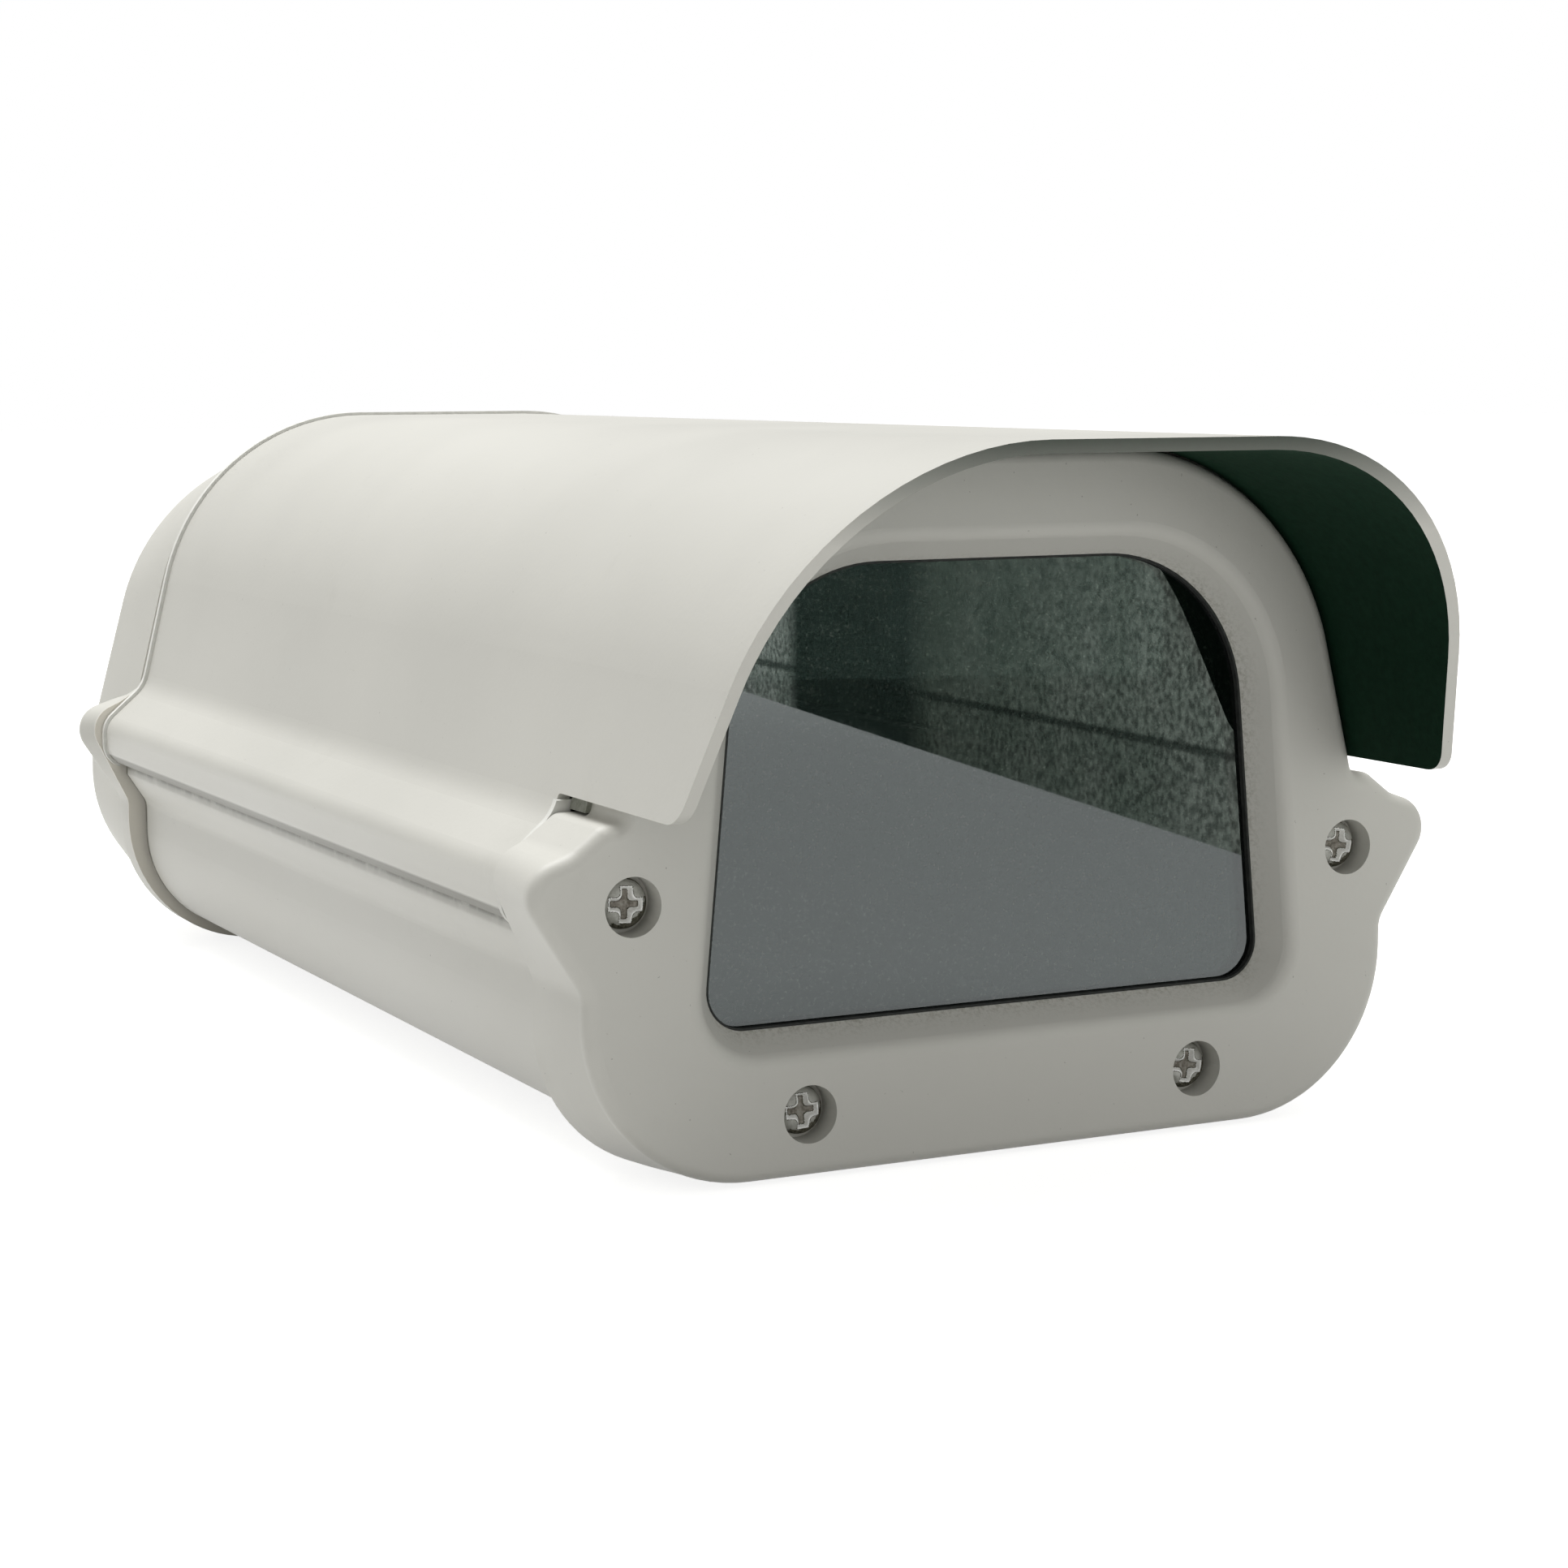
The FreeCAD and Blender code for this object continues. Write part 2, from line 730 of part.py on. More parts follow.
def make_front_cap():
    body = new_body("front_cap")
    inside_wall = named("shell_wall") + named("arch_gap")
    shelf_z = visor_edge - named("shelf_drop")
    shelf_inside = wall_x(shelf_z, inside_wall)
    shelf = (wall_x(shelf_z) + named("shelf_reach"), shelf_z, 2.4)
    upper = [shelf, (shelf_inside, shelf_z, 1.5), cap_arch(0.0, lip_foot)[1]]
    face = sketch_at_depth(body, "cap_outline", front_y)
    add_outline(face, both_sides(ear_corners(0.0) + upper))
    straight = named("cap_edge_radius") + 0.8
    first = pad_back(body, "cap_face", face, straight)
    round_edges(body, "cap_front_rounding", first,
                edges_of_face(first, front_y.value), named("cap_edge_radius"))

    # Behind the rounded face the flanks run straight to the step for the arch seal.
    step_y = shell_front - named("seal_step")
    step_share = 1.0 - named("seal_step") / named("front_cap_depth")
    flank = sketch_at_depth(body, "cap_flank_outline", front_y + straight)
    add_outline(flank, both_sides(ear_corners(0.0) + upper))
    step = sketch_at_depth(body, "cap_step_outline", step_y)
    add_outline(step, both_sides(ear_corners(step_share) + upper))
    loft(body, "cap_flanks", flank, step)

    # Behind the step only the lower part goes on, up to the shelf under the visor's edge.
    under = [shelf, (shelf_inside - 2.0, shelf_z, None)]
    lower = sketch_at_depth(body, "cap_lower_outline", step_y)
    add_outline(lower, both_sides(ear_corners(step_share) + under))
    joint = sketch_at_depth(body, "cap_joint_outline", shell_front)
    add_outline(joint, both_sides(ear_corners(1.0) + under))
    loft(body, "cap_lower", lower, joint)
    spigot_foot = hinge_z + named("spigot_foot_rise")
    inner_arch = sketch_at_depth(body, "cap_inner_arch", step_y)
    add_outline(inner_arch, both_sides(cap_arch(named("seal_step_drop"), spigot_foot)))
    pad_back(body, "cap_arch_spigot", inner_arch, named("seal_step"))

    hollow = sketch_at_depth(body, "cap_hollow", front_y + named("front_wall"))
    add_outline(hollow, both_sides(cavity_corners()))
    pocket(body, "cap_hollow_cut", hollow, named("front_cap_depth") - named("front_wall"))

    outer_window = sketch_at_depth(body, "bezel_front", front_y)
    add_outline(outer_window, both_sides(window_corners(named("bezel_width"))))
    inner_window = sketch_at_depth(body, "bezel_back", front_y + named("front_wall"))
    add_outline(inner_window, both_sides(window_corners()))
    bezel = loft(body, "bezel_slope", outer_window, inner_window,
                 "PartDesign::SubtractiveLoft")
    round_edges(body, "bezel_edge", bezel, edges_of_face(bezel, front_y.value, inner=True),
                named("bezel_rounding"))

    seats = sketch_at_depth(body, "screw_seats", front_y)
    holes = sketch_at_depth(body, "screw_holes", front_y)
    for x, y, z, turn in screw_places(front_y, None):
        add_circle(seats, x, z, named("counterbore_radius"))
        add_circle(holes, x, z, named("cap_hole_radius"))
    pocket(body, "screw_counterbores", seats, named("counterbore_depth"))
    pocket(body, "screw_through", holes, named("front_cap_depth"))

    frame_holes = sketch_at_depth(body, "frame_screw_holes", front_y + named("front_wall"))
    for x, z in frame_screw_spots():
        add_circle(frame_holes, x, z, named("small_screw_radius") + 0.1)
    pocket(body, "frame_screw_threads", frame_holes, 4.0, reverse=True)
    return body


def frame_screw_spots():
    """Where the window's retaining frame is screwed to the front cap."""
    low_x = named("cap_half_width") - named("cap_rim") - named("small_head_radius") - 0.6
    high_z = named("window_bottom") + named("frame_screw_rise")
    high_x = wall_x(high_z, named("cavity_arch_inset")) - named("small_head_radius") - 0.8
    spots = []
    for side in (1.0, -1.0):
        spots.append((low_x * side, named("window_bottom") + 6.7))
        spots.append((high_x * side, high_z))
    return spots


def rear_ear_corners(set_back):
    """Right half of the rear cap's lower outline, with the ear drawn in by the set back."""
    half = named("rear_half_width")
    return [
        (half, 0.0, elbow_z - named("rear_flank_height")),
        (half, elbow_z, 4.5),
        (named("ear_corner_x") + named("rear_ear_gain") - set_back,
         ear_z + named("ear_corner_rise"), named("ear_radius")),
        (named("ear_dip_x"), ear_z + named("ear_dip_rise"), 5.0),
    ]


def make_rear_cap():
    body = new_body("rear_cap")
    half = named("rear_half_width")
    corner = elbow_z - named("rear_flank_height")
    foot = (wall_x(lip_foot), lip_foot, 2.5)
    crown = named("arch_height") - named("rear_top_set_back")
    top = (wall_x(crown), crown, named("arch_radius"))
    rim = sketch_at_depth(body, "rim_outline", shell_rear)
    add_outline(rim, both_sides(rear_ear_corners(named("ear_set_back")) + [foot, top]))
    pad_back(body, "rim", rim, named("rear_rim_depth"))

    # The ears grow out behind the rim and end in a short straight part with a round edge.
    under = [(wall_x(lip_foot, 3.0), lip_foot - 1.0, None)]
    straight = named("rear_ear_rounding") + 0.6
    ear_end = shell_rear + named("rear_ear_depth")
    near_ears = sketch_at_depth(body, "ear_outline_near", shell_rear + 1.0)
    add_outline(near_ears, both_sides(rear_ear_corners(named("ear_set_back")) + under))
    far_ears = sketch_at_depth(body, "ear_outline_far", ear_end - straight)
    add_outline(far_ears, both_sides(rear_ear_corners(0.0) + under))
    loft(body, "ear_flare", near_ears, far_ears)
    ears = sketch_at_depth(body, "ear_outline", ear_end - straight)
    add_outline(ears, both_sides(rear_ear_corners(0.0) + under))
    flange = pad_back(body, "ears", ears, straight)
    round_edges(body, "ear_rounding", flange, edges_of_face(flange, ear_end.value),
                named("rear_ear_rounding"))

    near = sketch_at_depth(body, "hood_near", shell_rear + named("rear_rim_depth"))
    add_outline(near, both_sides([
        (half, 0.0, corner),
        (half - 0.5, hinge_z - 0.5, 12.0),
        top,
    ]))
    far = sketch_at_depth(body, "hood_far", rear_face)
    flank = half + named("rear_flank_gain")
    drop = named("rear_drop")
    add_outline(far, both_sides([
        (flank, named("rear_rise"), corner + 3.0),
        (flank - 0.5, hinge_z - 0.5, 12.0),
        (wall_x(crown - drop), crown - drop, named("rear_top_radius")),
    ]))
    hood = loft(body, "hood", near, far)
    round_edges(body, "hood_rounding", hood, edges_of_face(hood, rear_face.value),
                named("rear_edge_radius"))

    hollow_near = sketch_at_depth(body, "hollow_near", shell_rear)
    add_outline(hollow_near, both_sides(cavity_corners()))
    hollow_far = sketch_at_depth(body, "hollow_far", rear_face - named("rear_wall"))
    add_outline(hollow_far, both_sides(cavity_corners(2.0, drop + 1.0, 4.0)))
    loft(body, "hollow", hollow_near, hollow_far, "PartDesign::SubtractiveLoft")

    seats = sketch_at_depth(body, "screw_seats", shell_rear + named("rear_screw_seat"))
    holes = sketch_at_depth(body, "screw_holes", shell_rear)
    for x, y, z, turn in screw_places(shell_rear, None):
        add_circle(seats, x, z, named("counterbore_radius"))
        add_circle(holes, x, z, named("cap_hole_radius"))
    pocket(body, "screw_counterbores", seats, named("rear_cap_depth"))
    pocket(body, "screw_through", holes, named("rear_cap_depth"))

    glands = sketch_at_depth(body, "gland_holes", rear_face - named("rear_wall") - 1.0)
    for side in (1.0, -1.0):
        add_circle(glands, named("gland_x") * side, named("gland_height"),
                   named("gland_thread_radius") + 0.15)
    pocket(body, "gland_hole_cuts", glands, named("rear_wall") + 2.0)
    return body


# Window: gasket, glass and the frame that presses them to the front cap

glass_y = front_y + named("front_wall") + named("window_gasket_thickness")
frame_y = glass_y + named("glass_thickness")


def make_ring(label, depth, thickness, outer, inner):
    """A flat ring between two outlines, padded from the given Y towards the rear."""
    body = new_body(label)
    ring = sketch_at_depth(body, label + "_section", depth)
    add_outline(ring, both_sides(outer))
    add_outline(ring, both_sides(inner))
    pad_back(body, label + "_ring", ring, thickness)
    return body


def make_window_glass():
    body = new_body("window_glass")
    pane = sketch_at_depth(body, "pane", glass_y)
    add_outline(pane, both_sides(window_corners(named("glass_overlap"))))
    pad_back(body, "pane_plate", pane, named("glass_thickness"))
    return body


def make_glass_frame():
    body = make_ring("glass_frame", frame_y, named("frame_thickness"),
                     cavity_corners(0.5, 0.5, 0.5), window_corners(0.6))
    holes = sketch_at_depth(body, "frame_holes", frame_y)
    for x, z in frame_screw_spots():
        add_circle(holes, x, z, named("small_screw_radius") + 0.2)
    pocket(body, "frame_hole_cuts", holes, named("frame_thickness"))
    return body


# Seals

def make_cover_rear_seal():
    body = new_body("cover_rear_seal")
    proud = named("seal_proud")
    depth = metal_front + metal_length
    length = named("seal_thickness") - named("soft_clearance")
    ring = sketch_at_depth(body, "rear_seal_section", depth)
    inner = cover_inner_corners(proud)
    add_outline(ring, both_sides(cover_corners(proud)) + mirror_corners(inner) + inner)
    pad_back(body, "rear_seal_ring", ring, length)
    cut_hinge(body, depth, length)
    return body


def make_cover_front_seal(label, side):
    """The seal on the front end of one lip."""
    body = new_body(label)
    proud = named("seal_proud")
    depth = shell_front + named("soft_clearance")
    length = named("seal_thickness") - named("soft_clearance")
    top = visor_edge - named("shoulder_gap") - 0.2
    corners = cover_corners(proud)[0:3] + [
        (wall_x(top, -proud), top, None),
        (wall_x(top, named("shell_wall")), top, None),
    ] + cover_inner_corners(proud)[1:]
    section = sketch_at_depth(body, label + "_section", depth)
    add_outline(section, corners if side > 0 else mirror_corners(corners))
    pad_back(body, label + "_strip", section, length)
    if side < 0:
        cut_hinge(body, depth, length)
    return body


def make_arch_seal():
    """The band in the front cap's step, under the cover's arch."""
    body = new_body("arch_seal")
    base = visor_edge
    outer = cap_arch(named("soft_clearance") - named("arch_gap"), base)
    inner = cap_arch(named("seal_step_drop"), base)
    band = sketch_at_depth(body, "arch_seal_section", shell_front - named("seal_step"))
    add_outline(band, both_sides(outer) + mirror_corners(list(reversed(inner)))
                + list(reversed(inner)))
    pad_back(body, "arch_seal_band", band, named("seal_step"))
    return body


def make_tray_gasket(label, depth):
    """The gasket between one end of the tray and its cap."""
    body = new_body(label)
    inset = named("gasket_inset")
    thickness = named("seal_thickness")
    section = sketch_at_depth(body, label + "_section", depth)
    add_outline(section, tray_corners(inset))
    pad_back(body, label + "_plate", section, thickness)
    ports = sketch_at_depth(body, label + "_ports", depth)
    for side in (1.0, -1.0):
        add_circle(ports, ear_x * side, ear_z, named("port_radius"))
        add_circle(ports, floor_x * side, floor_z, named("port_radius"))
    pad_back(body, label + "_rings", ports, thickness)
    feet = sketch_at_depth(body, label + "_webs", depth)
    for side in (1.0, -1.0):
        low_x, high_x = floor_x * side - 2.2, floor_x * side + 2.2
        add_outline(feet, [
            (low_x, named("tray_bottom") + 1.0, None),
            (high_x, named("tray_bottom") + 1.0, None),
            (high_x, floor_z - 2.2, None),
            (low_x, floor_z - 2.2, None),
        ])
    web = [
        (ear_x + 0.6, ear_z - 9.0, None),
        (ear_x + 3.2, ear_z - 9.0, None),
        (ear_x + 3.2, ear_z - 2.2, None),
        (ear_x + 0.6, ear_z - 2.2, None),
    ]
    add_outline(feet, web)
    add_outline(feet, mirror_corners(web))
    pad_back(body, label + "_feet", feet, thickness)
    holes = sketch_at_depth(body, label + "_holes", depth)
    for side in (1.0, -1.0):
        add_circle(holes, ear_x * side, ear_z, named("thread_hole_radius"))
        add_circle(holes, floor_x * side, floor_z, named("thread_hole_radius"))
    pocket(body, label + "_hole_cuts", holes, thickness)
    relief = sketch_at_depth(body, label + "_relief", depth)
    add_circle(relief, -named("hinge_x"), named("hinge_height"),
               named("hook_radius") + inset + named("soft_clearance"))
    pocket(body, label + "_relief_cut", relief, thickness)
    return body


def make_length_seal(label, side):
    """A strip that lies on one of the tray's upper screw ports, beside the cover's wall."""
    body = new_body(label)
    section = sketch_at_depth(body, label + "_section", metal_front)
    right = [
        (ear_x - 2.4, ear_z + 1.2, None),
        (ear_x + 2.9, ear_z + 1.2, None),
        (ear_x + 2.9, ear_z + 5.8, 1.2),
        (ear_x - 2.4, ear_z + 5.8, 1.2),
    ]
    add_outline(section, right if side > 0 else mirror_corners(right))
    pad_back(body, label + "_strip", section, metal_length)
    seat = sketch_at_depth(body, label + "_seat", metal_front)
    add_circle(seat, ear_x * side, ear_z, named("port_radius"))
    pocket(body, label + "_seat_cut", seat, metal_length)
    return body


# Fasteners: each is drawn upright with its head above Z = 0 and its shank below

def turned(body, name, corners):
    """Revolve a half section, drawn in X and Z, round the Z axis."""
    section = sketch_at_depth(body, name + "_section", 0.0)
    add_outline(section, corners)
    feature = body.newObject("PartDesign::Revolution", name)
    feature.Profile = section
    feature.ReferenceAxis = (section, ["V_Axis"])
    feature.Angle = 360.0
    doc.recompute()
    return feature


def make_screw(label, radius, length, head_radius, head_height, recess):
    """A pan-head screw with a cross recess of the given half length."""
    body = new_body(label)
    tip = size(radius) * 0.25
    turned(body, label + "_shape", [
        (0.0, -size(length), None),
        (size(radius) - tip, -size(length), None),
        (radius, tip - length, None),
        (radius, 0.0, None),
        (head_radius, 0.0, None),
        (head_radius, head_height, size(head_height) * 0.6),
        (0.0, head_height, None),
    ])
    cross = sketch_on(body, label + "_recess", "XY_Plane", head_height)
    arm = size(recess)
    half = size(recess) * 0.26
    add_outline(cross, [
        (half, -arm, None), (half, -half, None), (arm, -half, None), (arm, half, None),
        (half, half, None), (half, arm, None), (-half, arm, None), (-half, half, None),
        (-arm, half, None), (-arm, -half, None), (-half, -half, None), (-half, -arm, None),
    ])
    pocket(body, label + "_recess_cut", cross, size(head_height) * 0.65)
    return body


TO_FRONT = Rotation(Vector(1, 0, 0), 90)
TO_REAR = Rotation(Vector(1, 0, 0), -90)
UPRIGHT = Rotation()


def make_fasteners():
    head = (named("screw_head_radius"), named("screw_head_height"), 2.1)
    small_head = (named("small_head_radius"), named("small_head_height"), 1.5)
    front = make_screw("front_screw", named("screw_radius"), named("front_screw_length"), *head)
    group("front_cap_screws", front,
          screw_places(front_y + named("counterbore_depth"), TO_FRONT))
    rear = make_screw("rear_screw", named("screw_radius"), named("rear_screw_length"), *head)
    group("rear_cap_screws", rear,
          screw_places(shell_rear + named("rear_screw_seat"), TO_REAR))
    cover = make_screw("cover_screw", named("screw_radius"), named("cover_screw_length"),
                       3.5, 2.6, 1.9)
    group("cover_screws", cover,
          [(named("hinge_x"), middle_y + named("cover_screw_offset") * side,
            cover_screw_seat, UPRIGHT) for side in (1.0, -1.0)])
    plate = make_screw("plate_screw", named("small_screw_radius"),
                       named("plate_screw_length"), *small_head)
    group("plate_screws", plate,
          [(x, y, named("rail_top") + named("plate_thickness"), UPRIGHT)
           for x, y in plate_screw_spots()])
    frame = make_screw("frame_screw", named("small_screw_radius"),
                       named("frame_screw_length"), *small_head)
    group("glass_frame_screws", frame,
          [(x, frame_y + named("frame_thickness"), z, TO_REAR)
           for x, z in frame_screw_spots()])


# Inside: the camera's mounting plate and the plate over the bracket's bolts

def plate_screw_spots():
    return [(named("rail_x") * x, middle_y + named("plate_screw_spacing") / 2.0 * y)
            for x in (1.0, -1.0) for y in (1.0, -1.0)]


def rectangle(half_x, centre_y, half_y, radius):
    return [
        (half_x, centre_y - half_y, radius), (half_x, centre_y + half_y, radius),
        (-half_x, centre_y + half_y, radius), (-half_x, centre_y - half_y, radius),
    ]


def make_mounting_plate():
    body = new_body("mounting_plate")
    outline = sketch_on(body, "plate_outline", "XY_Plane", named("rail_top"))
    screw_y = named("plate_screw_spacing") / 2.0
    add_outline(outline, rectangle(named("plate_width") / 2.0, middle_y,
                                   screw_y + named("plate_end_margin"), 6.0))
    pad(body, "plate_sheet", outline, named("plate_thickness"))
    top = named("rail_top") + named("plate_thickness")
    slot = sketch_on(body, "plate_slot", "XY_Plane", top)
    half = named("slot_width") / 2.0
    add_outline(slot, rectangle(half, middle_y, screw_y - named("slot_end_margin"),
                                half * 0.98))
    pocket(body, "plate_slot_cut", slot, named("plate_thickness"))
    holes = sketch_on(body, "plate_holes", "XY_Plane", top)
    for x, y in plate_screw_spots():
        add_circle(holes, x, y, named("small_screw_radius") + 0.2)
    pocket(body, "plate_hole_cuts", holes, named("plate_thickness"))
    return body


def make_camera_screw():
    """The knurled screw that holds a camera, kept in the slot by a ring nut."""
    screw = new_body("camera_screw_source")
    radius = named("camera_screw_radius")
    turned(screw, "camera_screw_shape", [
        (0.0, -named("knob_height"), None),
        (named("knob_radius"), -named("knob_height"), 0.8),
        (named("knob_radius"), 0.0, 0.4),
        (radius, 0.0, None),
        (radius, named("camera_screw_reach"), 0.6),
        (0.0, named("camera_screw_reach"), None),
    ])
    spot_y = middle_y - 45.0
    group("camera_screw", screw, [(0.0, spot_y, named("rail_top"), UPRIGHT)])
    nut = new_body("camera_screw_nut_source")
    turned(nut, "camera_screw_nut_shape", [
        (radius + 0.1, 0.0, None),
        (named("knob_radius") - 0.5, 0.0, 0.4),
        (named("knob_radius") - 0.5, 3.0, 0.4),
        (radius + 0.1, 3.0, None),
    ])
    group("camera_screw_nut", nut,
          [(0.0, spot_y, named("rail_top") + named("plate_thickness"), UPRIGHT)])


def make_bracket_plate():
    body = new_body("bracket_plate")
    floor = named("tray_bottom") + named("tray_wall")
    outline = sketch_on(body, "bracket_plate_outline", "XY_Plane", floor)
    add_outline(outline, rectangle(named("bracket_plate_width") / 2.0, middle_y,
                                   named("bracket_plate_length") / 2.0, 4.0))
    pad(body, "bracket_plate_block", outline, named("bracket_plate_thickness"))
    holes = sketch_on(body, "bracket_plate_holes", "XY_Plane",
                      floor + named("bracket_plate_thickness"))
    for x, y in bracket_holes():
        add_circle(holes, x, y, named("bracket_hole_radius"))
    for x, y in bracket_rivets():
        add_circle(holes, x, y, named("rivet_radius") + 0.1)
    pocket(body, "bracket_plate_hole_cuts", holes, named("bracket_plate_thickness"))
    return body


def make_bracket_rivets():
    source = new_body("bracket_rivet")
    grip = named("tray_wall") + named("bracket_plate_thickness")
    radius = named("rivet_radius")
    head = named("rivet_head_radius")
    turned(source, "bracket_rivet_shape", [
        (0.0, -0.9, None),
        (head, -0.9, 0.7),
        (head, 0.0, None),
        (radius, 0.0, None),
        (radius, grip, None),
        (head, grip, None),
        (head, grip + 0.9, 0.7),
        (0.0, grip + 0.9, None),
    ])
    group("bracket_plate_rivets", source,
          [(x, y, named("tray_bottom"), UPRIGHT) for x, y in bracket_rivets()])


# Cable glands: drawn upright, with Z = 0 on the outside of the rear cap

def hexagon(across):
    half = size(across) / 2.0
    return [
        (half, -half * 0.57735, None), (half, half * 0.57735, None), (0.0, half * 1.1547, None),
        (-half, half * 0.57735, None), (-half, -half * 0.57735, None),
        (0.0, -half * 1.1547, None),
    ]


def make_glands():
    places = [(named("gland_x") * side, rear_face, named("gland_height"), TO_REAR)
              for side in (1.0, -1.0)]
    thread = named("gland_thread_radius")
    wall = named("rear_wall")
    hex_top = named("gland_hex_thickness")
    nut_inner = thread - 0.7
    collar_top = hex_top + 7.0
    seal_top = collar_top + 5.0
    end = hex_top + named("gland_nut_length")

    body = new_body("gland_body")
    turned(body, "gland_barrel", [
        (5.0, -(wall + 7.8), None),
        (thread, -(wall + 7.8), 0.6),
        (thread, 1.0, None),
        (nut_inner - 0.3, 1.0, None),
        (nut_inner - 0.3, collar_top, None),
        (5.0, collar_top, None),
    ])
    flats = sketch_on(body, "gland_flats", "XY_Plane", 0.0)
    add_outline(flats, hexagon(named("gland_hex")))
    add_circle(flats, 0.0, 0.0, 6.0)
    pad(body, "gland_hexagon", flats, hex_top)
    group("gland_bodies", body, places)

    nut = new_body("gland_nut")
    outer = named("gland_nut_radius")
    turned(nut, "gland_nut_shape", [
        (nut_inner, hex_top, None),
        (outer, hex_top, 0.5),
        (outer, end - 7.0, 3.0),
        (outer - 3.6, end, 1.0),
        (5.0, end, None),
        (5.0, end - 1.5, None),
        (nut_inner, seal_top + 0.3, None),
    ])
    group("gland_nuts", nut, places)

    seal = new_body("gland_seal")
    turned(seal, "gland_seal_shape", [
        (named("gland_bore_radius"), collar_top, None),
        (nut_inner - 0.3, collar_top, None),
        (nut_inner - 0.3, seal_top, 0.8),
        (named("gland_bore_radius"), seal_top, None),
    ])
    group("gland_seals", seal, places)

    lock = new_body("gland_lock_nut")
    flats = sketch_on(lock, "lock_nut_flats", "XY_Plane", -(wall + 4.0))
    add_outline(flats, hexagon(named("gland_hex")))
    add_circle(flats, 0.0, 0.0, thread + 0.1)
    pad(lock, "lock_nut_hexagon", flats, 4.0)
    group("gland_lock_nuts", lock, places)


# Build every sub-part, check it and write one file for each

make_tray()
make_cover()
make_front_cap()
make_rear_cap()
make_ring("window_gasket", front_y + named("front_wall"), named("window_gasket_thickness"),
          window_corners(named("glass_overlap") - 0.3), window_corners(-0.4))
make_window_glass()
make_glass_frame()
make_pair("cover_front_seals", make_cover_front_seal("seal_right", 1),
          make_cover_front_seal("seal_left", -1))
make_cover_rear_seal()
make_arch_seal()
make_pair("tray_end_gaskets", make_tray_gasket("gasket_front", shell_front),
          make_tray_gasket("gasket_rear", metal_front + metal_length))
make_pair("length_seals", make_length_seal("strip_right", 1.0),
          make_length_seal("strip_left", -1.0))
make_fasteners()
make_mounting_plate()
make_camera_screw()
make_bracket_plate()
make_bracket_rivets()
make_glands()
doc.recompute()

NODES = [
    "tray", "cover", "front_cap", "rear_cap", "window_gasket", "window_glass", "glass_frame",
    "glass_frame_screws", "cover_front_seals", "cover_rear_seal", "arch_seal",
    "tray_end_gaskets", "length_seals", "front_cap_screws", "rear_cap_screws", "cover_screws",
    "mounting_plate", "plate_screws", "camera_screw", "camera_screw_nut", "bracket_plate",
    "bracket_plate_rivets", "gland_bodies", "gland_nuts", "gland_seals", "gland_lock_nuts",
]

for thing in doc.Objects:
    if "Invalid" in thing.State or "Error" in thing.State:
        raise RuntimeError("%s does not compute" % thing.Label)

for node in NODES:
    shape = doc.getObjectsByLabel(node)[0].Shape
    if shape.isNull() or not shape.isValid():
        raise RuntimeError("%s has no valid shape" % node)
    shape.exportStep("parts/%s.step" % node)
    box = shape.optimalBoundingBox(True)
    print("%-22s solids %d  volume %8.0f  x %.1f to %.1f  y %.1f to %.1f  z %.1f to %.1f" % (
        node, len(shape.Solids), shape.Volume, box.XMin, box.XMax, box.YMin, box.YMax,
        box.ZMin, box.ZMax))
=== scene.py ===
import math

import bmesh
import bpy
from mathutils import Matrix, Vector, noise


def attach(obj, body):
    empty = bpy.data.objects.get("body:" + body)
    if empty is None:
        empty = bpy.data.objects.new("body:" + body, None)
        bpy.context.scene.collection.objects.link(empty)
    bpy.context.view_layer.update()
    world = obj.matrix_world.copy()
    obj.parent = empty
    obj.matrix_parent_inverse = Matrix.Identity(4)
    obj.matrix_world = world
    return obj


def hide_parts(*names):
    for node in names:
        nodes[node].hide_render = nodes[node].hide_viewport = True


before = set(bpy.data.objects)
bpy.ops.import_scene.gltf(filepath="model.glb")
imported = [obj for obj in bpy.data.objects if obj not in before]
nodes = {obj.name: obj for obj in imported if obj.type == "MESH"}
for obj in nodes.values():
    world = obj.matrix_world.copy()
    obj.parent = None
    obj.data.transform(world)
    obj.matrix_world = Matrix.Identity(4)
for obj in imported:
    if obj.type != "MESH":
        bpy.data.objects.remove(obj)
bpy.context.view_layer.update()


# Tray: the aluminium extrusion that everything is built on, with screw ports along its
# edges, rails on its floor and the hinge bead on its left wall. It is powder coated in a
# warm light grey, like the cover and both cast end caps.

PAINT, PAINT_SHADE = (0.640, 0.632, 0.585), (0.590, 0.584, 0.540)
PAINT_SOILED, PAINT_SPECK = (0.42, 0.41, 0.36), (0.16, 0.15, 0.13)


